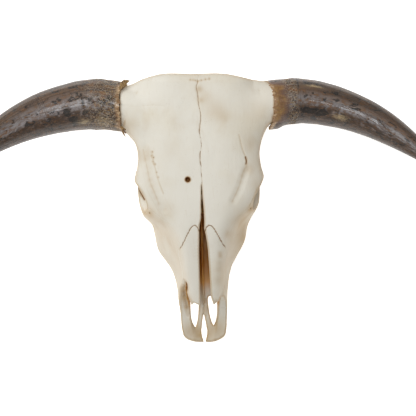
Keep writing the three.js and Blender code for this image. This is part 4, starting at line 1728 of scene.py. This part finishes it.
def part(body: Array, side: Array, gap: float, sunk: float) -> tuple[Array, Array]:
    """Parts a body in two, with the second reaching a little under the first.

    Args:
        body: The distance to the body.
        side: The distance to the surface that parts it, above 0 on the first's side.
        gap: The width of the joint.
        sunk: The depth of the joint.

    Returns:
        The part where side is above 0 and the part where it is below 0.
    """
    first = np.maximum(body, gap / 2 - side)
    second = np.maximum(body, gap / 2 + side)
    under = np.maximum(body + sunk, side - 1.8)
    return first, np.minimum(second, under)


# ---- the teeth ----


@dataclass(frozen=True)
class Tooth:
    """A cheek tooth: its length along the row, its width, and how many lobes it has."""

    length: float
    width: float
    lobes: int


@dataclass
class ToothRow:
    """The six upper cheek teeth of one side."""

    side: str
    teeth: Sequence[Tooth] = (
        Tooth(18, 17, 1),
        Tooth(19, 20, 1),
        Tooth(19.5, 22, 1),
        Tooth(24.5, 24, 2),
        Tooth(27, 25, 2),
        Tooth(29, 24, 2),
    )
    start: float = 134.0
    front_x: float = 44.0
    back_x: float = 56.0
    root: float = -112.0
    below: float = -190.0  # under the floor, where each crown starts before it is ground down
    grain: float = 1.0
    apart: float = 0.15  # how far each tooth stands back from its neighbours

    def _work_tooth(self, clay: Clay, tooth: Tooth, x: float, y: float) -> None:
        """Adds one crown, with its ribs and the folds in its worn face.

        Args:
            clay: The clay that is worked.
            tooth: The tooth.
            x: The x of its middle.
            y: The y of its middle.
        """
        low, high = self.below, self.root
        lobe = tooth.length / tooth.lobes
        for i in range(tooth.lobes):
            middle = y + (i - (tooth.lobes - 1) / 2) * lobe
            half = (tooth.width / 2 - 1.0, lobe / 2 - 1.2)
            turn = np.linspace(0, 2 * np.pi, 24, endpoint=False)
            squared = np.sign(np.cos(turn)) * np.abs(np.cos(turn)) ** 0.7
            outline = np.stack([x + half[0] * squared, middle + half[1] * np.sin(turn)], 1)
            clay.add(clay.prism(outline, low, high), 1.6)
            for rib in (-0.5, 0.0, 0.5):
                at = (x + tooth.width / 2 - 1.2, middle + rib * (lobe - 2.4))
                clay.add(clay.rod(((*at, low), (*at, high)), (1.6, 1.6)), 1.6)
            floor = float(floor_below(middle))
            bends = (-1, -0.4, 0.4, 1)
            bow = [(x + 1.5 - 3.4 * math.cos(a), middle + half[1] * 0.55 * a, floor) for a in bends]
            clay.cut(clay.rod(bow, (0.8, 1.5, 1.5, 0.8)), 0.8)
            rim = [(p + 6.5, q, r) for p, q, r in bow]
            clay.cut(clay.rod(rim, (0.6, 1.0, 1.0, 0.6)), 0.8)

    def build(self) -> bpy.types.Object:
        """Makes the row.

        Returns:
            The row, as one piece.
        """
        low, high = (26, 126, self.below), (78, 280, self.root - 4)
        clay = Clay(low, high, self.grain)
        total = sum(tooth.length for tooth in self.teeth)
        y = self.start
        for tooth in self.teeth:
            middle = y + tooth.length / 2
            x = self.front_x + (self.back_x - self.front_x) * ((middle - self.start) / total) ** 0.8
            one = Clay(low, high, self.grain)
            self._work_tooth(one, tooth, x, middle)
            clay.add(Patch(clay.everywhere(), one.distance + self.apart))
            y += tooth.length
        clay.trim_at_floor()
        clay.distance += clay.noise((2.5, 2.5, 9), 41) * 0.12
        points, quads = clay.skin(clay.distance)
        points[:, 2] = np.maximum(points[:, 2], floor_below(points[:, 1]))
        side = SIDES[self.side]
        row = make_piece(f"teeth_{self.side}", points * (side, 1, 1), [quads[:, ::side]])
        normals = normals_of(row) * (side, 1, 1)
        reach = 2.5
        open_space = clay.read(clay.distance, points + normals * reach) / reach
        keep_values(row, "hollow", np.clip(1 - open_space, 0, 1))
        hand_over(row, Finish.TOOTH)
        return row


# ---- the horns ----


# How far each sheath reaches over the bone: degrees round from its upper side, and millimetres.
LEFT_LIP: Outline = (
    (-180, 0), (-130, 1), (-102, 5), (-84, 9), (-72, 6.5), (-55, 3.5), (-30, 1), (0, 0.6), (20, 1),
    (32, 3), (44, 6.5), (58, 9), (72, 12), (84, 20), (96, 24), (110, 12), (140, 2),
)
RIGHT_LIP: Outline = (
    (-180, 0), (-125, 1), (-104, 3), (-90, 8), (-78, 10), (-66, 4), (-50, 0.5), (0, 0), (30, 0.5),
    (45, 4), (60, 9), (74, 13), (86, 14), (98, 7), (110, 2), (140, 1),
)


@dataclass
class Horn:
    """A horn sheath over its core, from the edge of the sheath to the tip."""

    side: str
    radius: float
    back: float
    turn: float
    seed: int
    lip: Outline  # how far the sheath reaches over the bone, by degrees round from its upper side
    amber: tuple[float, float]  # where the translucent zone begins to fade, and where it ends
    rim: float  # how wide the pale rim is
    scuffs: tuple[float, float]  # where the flaky zone is densest, and how far it reaches either way
    edge: float
    sheen: float  # which way the painted grey highlight band faces, in degrees round from the upper side
    ringed: float  # where thin dark rings run round the horn
    tuck: tuple[float, float]  # how much its edge is drawn in at the back and in front
    flare: float  # how much the very edge stands out in front
    # Worn patches: distance from the edge, degrees round from the upper side, half sizes, whether dark.
    patches: Sequence[tuple[float, float, float, float, bool]]
    gap: float = 0.3
    line: Outline = (
        (126, 435, -45), (190, 445, -47), (248, 438, -41), (311, 418, -25), (366, 387, 3),
        (408, 352, 45), (432, 322, 98),
    )
    before: float = 40.0  # how far the centre line is carried on into the skull
    steps: int = 600  # along the centre line
    base_steps: int = 200  # of them, how many lie near the skull
    rings: int = 400
    facets: int = 200
    inner_rings: int = 5  # from the end of the core out to the edge

    def _path(self) -> tuple[Array, Array]:
        """Runs the centre line at even steps.

        Returns:
            The points, and how far along the horn each is, from 0 at the first key.
        """
        keys = np.asarray(self.line, float)
        base = np.array([self.edge, keys[0, 1], 0])
        c, s = math.cos(math.radians(-self.turn)), math.sin(math.radians(-self.turn))
        turned = (keys - base) @ np.array([[c, s, 0], [-s, c, 0], [0, 0, 1]]) + base
        turned = turned * (SIDES[self.side], 1, 1) + (0, self.back, 0)
        path = evenly(curve(turned, 60), np.linspace(0, 1, self.steps))
        step = path[1] - path[0]
        size = float(np.linalg.norm(step))
        count = int(self.before / size)
        inner = path[0] - step * np.arange(count, 0, -1)[:, None]
        return np.concatenate([inner, path]), (np.arange(count + self.steps) - count) * size

    def _frames(self, path: Array) -> tuple[Array, Array, Array]:
        """Carries directions along the centre line without twist.

        Args:
            path: The centre line.

        Returns:
            The directions along it, across it and out of its upper side.
        """
        along = np.gradient(path, axis=0)
        along /= np.linalg.norm(along, axis=1)[:, None]
        first = np.cross((0, 1.0, 0), along[0]) * SIDES[self.side]
        over = [first / np.linalg.norm(first)]
        for step in along[1:]:
            carried = over[-1] - step * (over[-1] @ step)
            over.append(carried / np.linalg.norm(carried))
        over = np.array(over) * np.sign(over[0][2])
        across = np.cross(over, along)
        return along, across * np.sign(across[0, 1]), over

    def _relief(self, reach: Array, angle: Array, share: Array) -> Array:
        """Shapes what stands out of a smooth horn.

        Args:
            reach: Distances from the edge.
            angle: Angles round the horn.
            share: Shares of the horn's length.

        Returns:
            The relief, in millimetres, by distance and angle.
        """
        turns = np.concatenate([angle, angle + 2 * np.pi])

        def wrapped(scale: Sequence[float], seed: int) -> Array:
            """Makes noise that closes round the horn.

            Args:
                scale: Size of its lumps along and round the horn.
                seed: Seed of the random numbers.

            Returns:
                The noise, by distance and angle.
            """
            noise = lattice_noise((reach, turns), scale, seed)
            fade = np.linspace(0, 1, len(angle))
            return noise[:, : len(angle)] * fade + noise[:, len(angle) :] * (1 - fade)

        ridges = wrapped((150, 0.13), self.seed) * 0.4 + wrapped((90, 0.05), self.seed + 1) * 0.25
        swell = wrapped((40, 0.7), self.seed + 2) * 0.7
        scales = np.maximum(wrapped((9, 0.12), self.seed + 3), 0) * 0.8
        at = reach[:, None] + wrapped((60, 0.5), self.seed + 4) * 4
        growth = np.sin(at / 5.5) * 0.3 * smoothstep(170, 30, at)
        flaky = self._flaky(reach)[:, None]
        tip = smoothstep(1.0, 0.9, share)[:, None]
        return (ridges * (0.6 + flaky) + swell + scales * flaky + growth) * tip

    def _flaky(self, reach: Array) -> Array:
        """How flaky the sheath is at some distances from its edge."""
        middle, spread = self.scuffs
        return np.exp(-(((reach - middle) / spread) ** 2))

    def build(self, clay: Clay) -> bpy.types.Object:
        """Makes the sheath.

        Args:
            clay: The skull that the sheath's edge lies on.

        Returns:
            The sheath.
        """
        path, reach = self._path()
        along, across, over = self._frames(path)
        side = SIDES[self.side]
        angle = np.linspace(0, 2 * np.pi, self.facets, endpoint=False)
        out = over[:, None] * np.cos(angle)[:, None] + across[:, None] * np.sin(angle)[:, None]
        share = np.clip(reach / reach[-1], 0, 1)
        taper = np.maximum(0.02, 1 - share**1.7) ** 0.85
        from_edge = reach - (self.edge - self.line[0][0])
        radius = self.radius * taper[:, None] + self._relief(from_edge, angle, share) - 0.6
        behind, before = np.clip(np.sin(angle), 0, 1) ** 2, np.clip(-np.sin(angle), 0, 1) ** 2
        tuck = self.tuck[0] * behind + self.tuck[1] * before
        radius = radius - smoothstep(48, 4, from_edge)[:, None] * tuck
        radius = radius + self.flare * smoothstep(16, 0, from_edge)[:, None] * before**2
        surface = path[:, None] + out * radius[..., None]
        start = self._starts(surface, angle)
        rows = start + (len(path) - 1 - start) * (np.linspace(0, 1, self.rings) ** 1.15)[:, None]
        outer = self._sampled(surface, rows)
        ways = self._sampled(out, rows)
        near = side * outer[..., 0] < self.edge + 4
        outer += ways * (np.maximum(0, 1.3 - self._off_bone(clay, outer)) * near)[..., None]
        lip = self._traced(clay, outer[0], ways[0])
        seat = self._seat(surface)
        between = lip + (seat - lip) * 0.5
        middle = seat.mean(0)
        cap = middle + (seat - middle) * 0.5
        edge = outer[0] + (lip - outer[0]) * 0.35 + (outer[0] - outer[1]) * 0.4
        points, quads, caps = loft(np.concatenate([np.array([cap, seat, between, lip, edge]), outer]))
        way = facing(points, quads)
        sheath = make_piece(f"sheath_{self.side}", points, [quads[:, ::way], caps[:, ::way]])
        self._keep_values(sheath, rows, reach, angle, along)
        hand_over(sheath, Finish.HORN, [f"horn_{self.side}"])
        return sheath

    def _starts(self, surface: Array, angle: Array) -> Array:
        """Finds the rows of the surface at which the sheath starts.

        Args:
            surface: The whole horn's surface.
            angle: Angles round the horn.

        Returns:
            A row for each angle.
        """
        table = np.asarray(self.lip, float)
        degrees = (np.degrees(angle) + 180) % 360 - 180
        overlap = np.interp(degrees, table[:, 0], table[:, 1], period=360)
        rough = ring_noise(angle, 60, self.seed + 9) * 0.8 + ring_noise(angle, 14, self.seed + 8) * 1.0
        wanted = self.edge - overlap + np.minimum(rough, overlap)
        distance = np.abs(SIDES[self.side] * surface[: self.base_steps, :, 0] - wanted)
        return np.argmin(distance, axis=0).astype(float)

    def _sampled(self, values: Array, rows: Array) -> Array:
        """Reads values between the surface's rows.

        Args:
            values: Values by row and angle.
            rows: Rows, whole or between two, by angle.

        Returns:
            The values there.
        """
        low = np.minimum(rows.astype(int), len(values) - 2)
        column = np.arange(values.shape[1])
        part_way = (rows - low)[..., None]
        return values[low, column] * (1 - part_way) + values[low + 1, column] * part_way

    def _off_bone(self, clay: Clay, points: Array) -> Array:
        """How far points are from the bone."""
        return clay.read(clay.distance, points.reshape(-1, 3)).reshape(points.shape[:-1])

    def _traced(self, clay: Clay, ring: Array, ways: Array) -> Array:
        """Draws a ring in towards the bone.

        Args:
            clay: The skull.
            ring: The ring.
            ways: The way out at each of its points.

        Returns:
            The ring on the bone.
        """
        lip = ring - ways * 0.6
        for _ in range(6):
            off = self._off_bone(clay, lip) - 0.35
            lip -= ways * np.clip(off, -1.5, 1.5)[:, None]
        inwards = np.einsum("ij,ij->i", ring - lip, ways)
        return ring - ways * np.clip(inwards, 0.5, 7.0)[:, None]

    def _seat(self, surface: Array) -> Array:
        """Makes the ring inside the sheath where it meets the end of its core.

        Args:
            surface: The whole horn's surface.

        Returns:
            The ring.
        """
        side = SIDES[self.side]
        row = int(np.argmin(np.abs(side * surface[: self.base_steps, :, 0].mean(1) - self.edge)))
        ring = surface[row].copy()
        middle = ring.mean(0)
        ring = middle + (ring - middle) * 0.9
        ring[:, 0] = side * (self.edge + self.gap / 2)
        return ring

    def _keep_values(
        self, sheath: bpy.types.Object, rows: Array, reach: Array, angle: Array, along: Array
    ) -> None:
        """Keeps, for each point, its place on the horn, the way its fibres run, how worn it is and where its
        painted highlight band lies.

        Args:
            sheath: The piece.
            rows: The row of each of its points, by ring and angle.
            reach: How far along the horn each row is.
            angle: Angles round the horn.
            along: The direction along the horn at each row.
        """
        lead = np.repeat(rows[:1], self.inner_rings, axis=0)
        rows = np.concatenate([lead, rows])
        low = rows.astype(int)
        far = reach[low] + (rows - low) * (reach[1] - reach[0]) - (self.edge - self.line[0][0])
        place = np.zeros((*rows.shape, 3))
        place[..., 0], place[..., 1] = np.cos(angle) * self.radius, np.sin(angle) * self.radius
        place[..., 2] = far
        from_edge = far - far[0]
        from_edge[: self.inner_rings] = 0
        wave = ring_noise(angle, 12, self.seed + 6) * 3.5
        degrees = (np.degrees(angle) + 180) % 360 - 180
        upper = smoothstep(72, 30, np.abs(degrees))
        amber = smoothstep(self.amber[1], self.amber[0], from_edge + wave) * upper
        lip = smoothstep(self.rim, 0.4, from_edge + wave * 0.25)
        outside = np.ones(rows.shape)
        outside[: self.inner_rings + 1] = 0
        flaky = self._flaky(far) * outside
        ends = np.array([[0, 0, 0.0], [0, 0, far.max()]])
        keep_values(sheath, "grain_place", np.concatenate([place.reshape(-1, 3), ends]) * MM)
        way = along[np.minimum(low, len(along) - 1)].reshape(-1, 3)
        turned = to_rest(np.concatenate([way, along[:1], along[-1:]])) - to_rest(np.zeros((1, 3)))
        keep_values(sheath, "fibre_way", turned / MM)
        # The painted grey highlight band, round the angle that sheen gives.
        sheen = np.exp(-(((degrees - self.sheen) / 26) ** 2)) * np.ones(rows.shape)
        burnt = smoothstep(-2, -24, degrees) * smoothstep(-90, -60, degrees) * np.ones(rows.shape)
        ochre = np.zeros(rows.shape)
        for at, facing, reach_out, spread, dark in self.patches:
            patch = np.exp(-(((far - at) / reach_out) ** 2) - ((degrees - facing) / spread) ** 2)
            burnt, ochre = (burnt + 2 * patch, ochre) if dark else (burnt, ochre + patch)
        kept = {"amber": amber, "lip": lip, "flaky": flaky, "sheen": sheen, "burnt": burnt, "ochre": ochre}
        kept["ringed"] = np.exp(-(((far - self.ringed) / 8) ** 2))
        for name, values in kept.items():
            keep_values(sheath, name, np.concatenate([values.ravel(), [0, 0]]))


@dataclass(frozen=True)
class Splinter:
    """A pointed strip of keratin that stands off the edge of a sheath, along a curve."""

    line: Outline
    width: float
    thickness: float

    def rings(self) -> Array:
        """Makes the splinter's rings, which narrow to its point.

        Returns:
            Rings by points by coordinates.
        """
        wide, thick = self.width, self.thickness
        sizes = ((wide * 0.7, thick), (wide, thick), (wide * 0.75, thick), (wide * 0.1, thick * 0.3))
        return Bar(self.line, sizes, 0).rings(1)[::4, ::4]


SPLINTERS: Sequence[Splinter] = (
    Splinter(((-142, 474, -11), (-134, 480, -15), (-122, 487, -22)), 5.0, 2.4),
    Splinter(((-140, 479, -17), (-136, 485, -22), (-132, 490.5, -28)), 4.0, 2.2),
    Splinter(((-141, 471, -8), (-133, 476, -11), (-125, 480, -15)), 4.5, 2.2),
    Splinter(((-139, 483, -24), (-132, 487, -28), (-122.5, 488, -31)), 4.5, 2.6),
    Splinter(((-142, 403, -12), (-137, 399, -16), (-131.5, 397, -20)), 4.5, 2.2),
    Splinter(((-140, 398, -20), (-137.5, 391, -28), (-133.5, 384, -34)), 3.0, 2.0),
)


def splinters() -> bpy.types.Object:
    """Makes the splinters of the right sheath as one piece.

    Returns:
        The splinters.
    """
    points, quads, caps, count = [], [], [], 0
    for splinter in SPLINTERS:
        some, squares, ends = loft(splinter.rings())
        way = facing(some, squares)
        points.append(some)
        quads.append(squares[:, ::way] + count)
        caps.append(ends[:, ::way] + count)
        count += len(some)
    faces = [np.concatenate(quads), np.concatenate(caps)]
    made = make_piece("splinters_right", np.concatenate(points), faces)
    hand_over(made, Finish.FLAKE)
    return made


HORNS: Sequence[Horn] = (
    Horn(
        side="left", radius=44.2, back=1.5, turn=4.5, seed=50, lip=LEFT_LIP, amber=(0, 40), rim=8,
        scuffs=(33, 10), edge=HORN_EDGES[1], sheen=-10, ringed=46, tuck=(0, 0.6), flare=4.2,
        patches=(
            (74, 41, 15, 4, False), (136, -30, 13, 9, False),
            (92, -28, 16, 10, True), (62, -26, 10, 7, True),
        ),
    ),
    Horn(
        side="right", radius=49.5, back=2.5, turn=0, seed=70, lip=RIGHT_LIP, amber=(-2, 9), rim=12,
        scuffs=(10, 46), edge=HORN_EDGES[-1], sheen=-6, ringed=150, tuck=(1.8, 4.5), flare=0,
        patches=(
            (24, -44, 16, 12, False), (72, -46, 13, 8, False),
            (70, 2, 3, 14, True), (106, -8, 8, 12, True), (94, -36, 8, 8, True),
        ),
    ),
)


# ---- flakes and fibres, by Geometry Nodes ----


@dataclass
class Slivers:
    """Slivers of keratin that lie along a sheath's fibres and lift from it near its edge."""

    sheath: bpy.types.Object
    per_square_metre: float = 90000.0
    size: float = 0.0034
    seed: int = 5
    inputs: ClassVar[Mapping[str, str]] = {
        "Density": "NodeSocketFloat",
        "Size": "NodeSocketFloat",
        "Seed": "NodeSocketInt",
    }

    def _tree(self) -> bpy.types.NodeTree:
        """Builds the tree that scatters the slivers.

        Returns:
            The tree.
        """
        ready = bpy.data.node_groups.get("slivers")
        if ready:
            return ready
        tree = bpy.data.node_groups.new("slivers", "GeometryNodeTree")
        tree.interface.new_socket("Geometry", in_out="INPUT", socket_type="NodeSocketGeometry")
        for name, kind in self.inputs.items():
            tree.interface.new_socket(name, in_out="INPUT", socket_type=kind)
        tree.interface.new_socket("Geometry", in_out="OUTPUT", socket_type="NodeSocketGeometry")
        g = Graph(tree)
        source = g.node("NodeGroupInput")
        density, size, seed = (g.also(source, name) for name in self.inputs)
        kept = "GeometryNodeInputNamedAttribute"
        where = g.node(kept, {"data_type": "FLOAT"}, {"Name": "flaky"})
        way = g.node(kept, {"data_type": "FLOAT_VECTOR"}, {"Name": "fibre_way"})
        points = g.node(
            "GeometryNodeDistributePointsOnFaces",
            {"distribute_method": "RANDOM"},
            {"Mesh": source, "Density": where * where * density, "Seed": seed},
        )
        upright = g.also(points, "Rotation")
        settings = {"axis": "X", "pivot_axis": "Z"}
        turned = g.node("FunctionNodeAlignRotationToVector", settings, {"Rotation": upright, "Vector": way})
        sliver = g.node("GeometryNodeMeshIcoSphere", inputs={"Radius": 1.0, "Subdivisions": 1})
        flat = g.node("GeometryNodeTransform", inputs={"Geometry": sliver, "Scale": (1.0, 0.12, 0.06)})
        sizes = {"Min": 0.35, "Max": 1.0, "Seed": seed}
        grown = g.node("FunctionNodeRandomValue", {"data_type": "FLOAT"}, sizes, "Value")
        placed = g.node(
            "GeometryNodeInstanceOnPoints",
            inputs={"Points": points, "Instance": flat, "Rotation": turned, "Scale": grown * size},
        )
        real = g.node("GeometryNodeRealizeInstances", inputs={"Geometry": placed})
        shaded = g.node("GeometryNodeSetShadeSmooth", inputs={"Geometry": real})
        dressed = g.node(
            "GeometryNodeSetMaterial", inputs={"Geometry": shaded, "Material": Finish.FLAKE.material()}
        )
        g.node("NodeGroupOutput", inputs={"Geometry": dressed})
        return tree

    def build(self) -> bpy.types.Object:
        """Makes the slivers as one plain mesh.

        Returns:
            The slivers.
        """
        name = self.sheath.name.replace("sheath", "flakes")
        carrier = bpy.data.objects.new(name, self.sheath.data.copy())
        bpy.context.scene.collection.objects.link(carrier)
        tree = self._tree()
        values = {"Density": self.per_square_metre, "Size": self.size, "Seed": self.seed}
        modifier = carrier.modifiers.new("slivers", "NODES")
        modifier.node_group = tree
        for socket in tree.interface.items_tree:
            if socket.name in values:
                modifier[socket.identifier] = values[socket.name]
        evaluated = carrier.evaluated_get(bpy.context.evaluated_depsgraph_get())
        made = bpy.data.meshes.new_from_object(evaluated)
        carrier.modifiers.clear()
        carrier.data = made
        hand_over(carrier, Finish.FLAKE)
        return carrier


# ---- the studio ----


@dataclass(frozen=True)
class Lamp:
    """A soft square light."""

    name: str
    place: tuple[float, float, float]
    size: float
    watts: float
    colour: tuple[float, float, float] = (1.0, 1.0, 1.0)

    def build(self, aim: Vector) -> None:
        """Makes the light and points it.

        Args:
            aim: The place that it points at.
        """
        data = bpy.data.lights.new(self.name, "AREA")
        data.size, data.energy, data.color = self.size, self.watts, self.colour
        lamp = bpy.data.objects.new(self.name, data)
        lamp.location = self.place
        lamp.rotation_euler = (aim - lamp.location).to_track_quat("-Z", "Y").to_euler()
        bpy.context.scene.collection.objects.link(lamp)


@dataclass
class Studio:
    """The camera, the floor and the lights."""

    azimuth: float = -5.0
    elevation: float = 78.35
    roll: float = 3.12
    distance: float = 2.3
    lens: float = 106.64
    orbit_about: Sequence[float] = (0.0049, 0.0201, 0.1)
    aim_off: Sequence[float] = (0.0141, -0.0178)  # to the right and up in the picture, in metres
    floor_half: float = 6.0
    lamps: Sequence[Lamp] = (
        Lamp("key", (-1.0, 0.8, 1.95), 1.1, 21, (1.0, 0.985, 0.965)),
        Lamp("overhead", (-0.15, -0.1, 2.7), 0.7, 20, (0.9, 0.95, 1.0)),
    )
    sky: tuple[float, float, float] = (1.0, 0.93, 0.83)
    sky_strength: float = 0.24

    def camera(self) -> None:
        """Makes the camera."""
        a, e, r = (math.radians(value) for value in (self.azimuth, self.elevation, self.roll))
        back = Vector((math.sin(a) * math.cos(e), -math.cos(a) * math.cos(e), math.sin(e)))
        level = Vector((math.cos(a), math.sin(a), 0))
        up = back.cross(level)
        right = level * math.cos(r) + up * math.sin(r)
        raised = up * math.cos(r) - level * math.sin(r)
        centre = Vector(self.orbit_about)
        place = centre + back * self.distance
        aim = centre + right * self.aim_off[0] + raised * self.aim_off[1]
        facing = (place - aim).normalized()
        right = (right - facing * right.dot(facing)).normalized()
        raised = facing.cross(right)
        data = bpy.data.cameras.new("camera")
        data.lens, data.sensor_width = self.lens, 36.0
        camera = bpy.data.objects.new("camera", data)
        turned = Matrix((right, raised, facing)).transposed().to_4x4()
        camera.matrix_world = Matrix.Translation(place) @ turned
        bpy.context.scene.collection.objects.link(camera)
        bpy.context.scene.camera = camera

    def floor(self) -> None:
        """Makes the floor."""
        half = self.floor_half
        mesh = bpy.data.meshes.new("floor")
        corners = [(-half, -half, 0), (half, -half, 0), (half, half, 0), (-half, half, 0)]
        mesh.from_pydata(corners, [], [(0, 1, 2, 3)])
        mesh.materials.append(Finish.FLOOR.material())
        made = bpy.data.objects.new("floor", mesh)
        bpy.context.scene.collection.objects.link(made)
        made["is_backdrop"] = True

    def lights(self) -> None:
        """Makes the lights and the even light of the room."""
        for lamp in self.lamps:
            lamp.build(Vector(self.orbit_about))
        world = bpy.data.worlds.new("room")
        world.use_nodes = True
        graph = Graph(world.node_tree)
        inputs = {"Color": (*self.sky, 1), "Strength": self.sky_strength}
        light = graph.node("ShaderNodeBackground", inputs=inputs)
        graph.node("ShaderNodeOutputWorld", inputs={"Surface": light})
        bpy.context.scene.world = world

    def build(self) -> None:
        """Sets the studio up."""
        self.camera()
        self.floor()
        self.lights()
        bpy.context.scene.view_settings.view_transform = "Standard"


def corners(bounds: tuple[Vector, Vector]) -> list[list[float]]:
    """Two corners as plain lists of numbers."""
    return [[float(value) for value in corner] for corner in bounds]


def main() -> None:
    """Builds the studio, the bones, the teeth and the horns."""
    logging.basicConfig(level=logging.INFO, format="%(message)s")
    Studio().build()
    skull = Skull()
    clay = skull.clay()
    skull.build(clay)
    for side in SIDES:
        ToothRow(side).build()
    for horn in HORNS:
        Slivers(horn.build(clay), seed=horn.seed).build()
    splinters()
    {"cad": corners(CAD_BOUNDS), "visual": corners(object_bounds())}


if __name__ == "__main__":
    main()
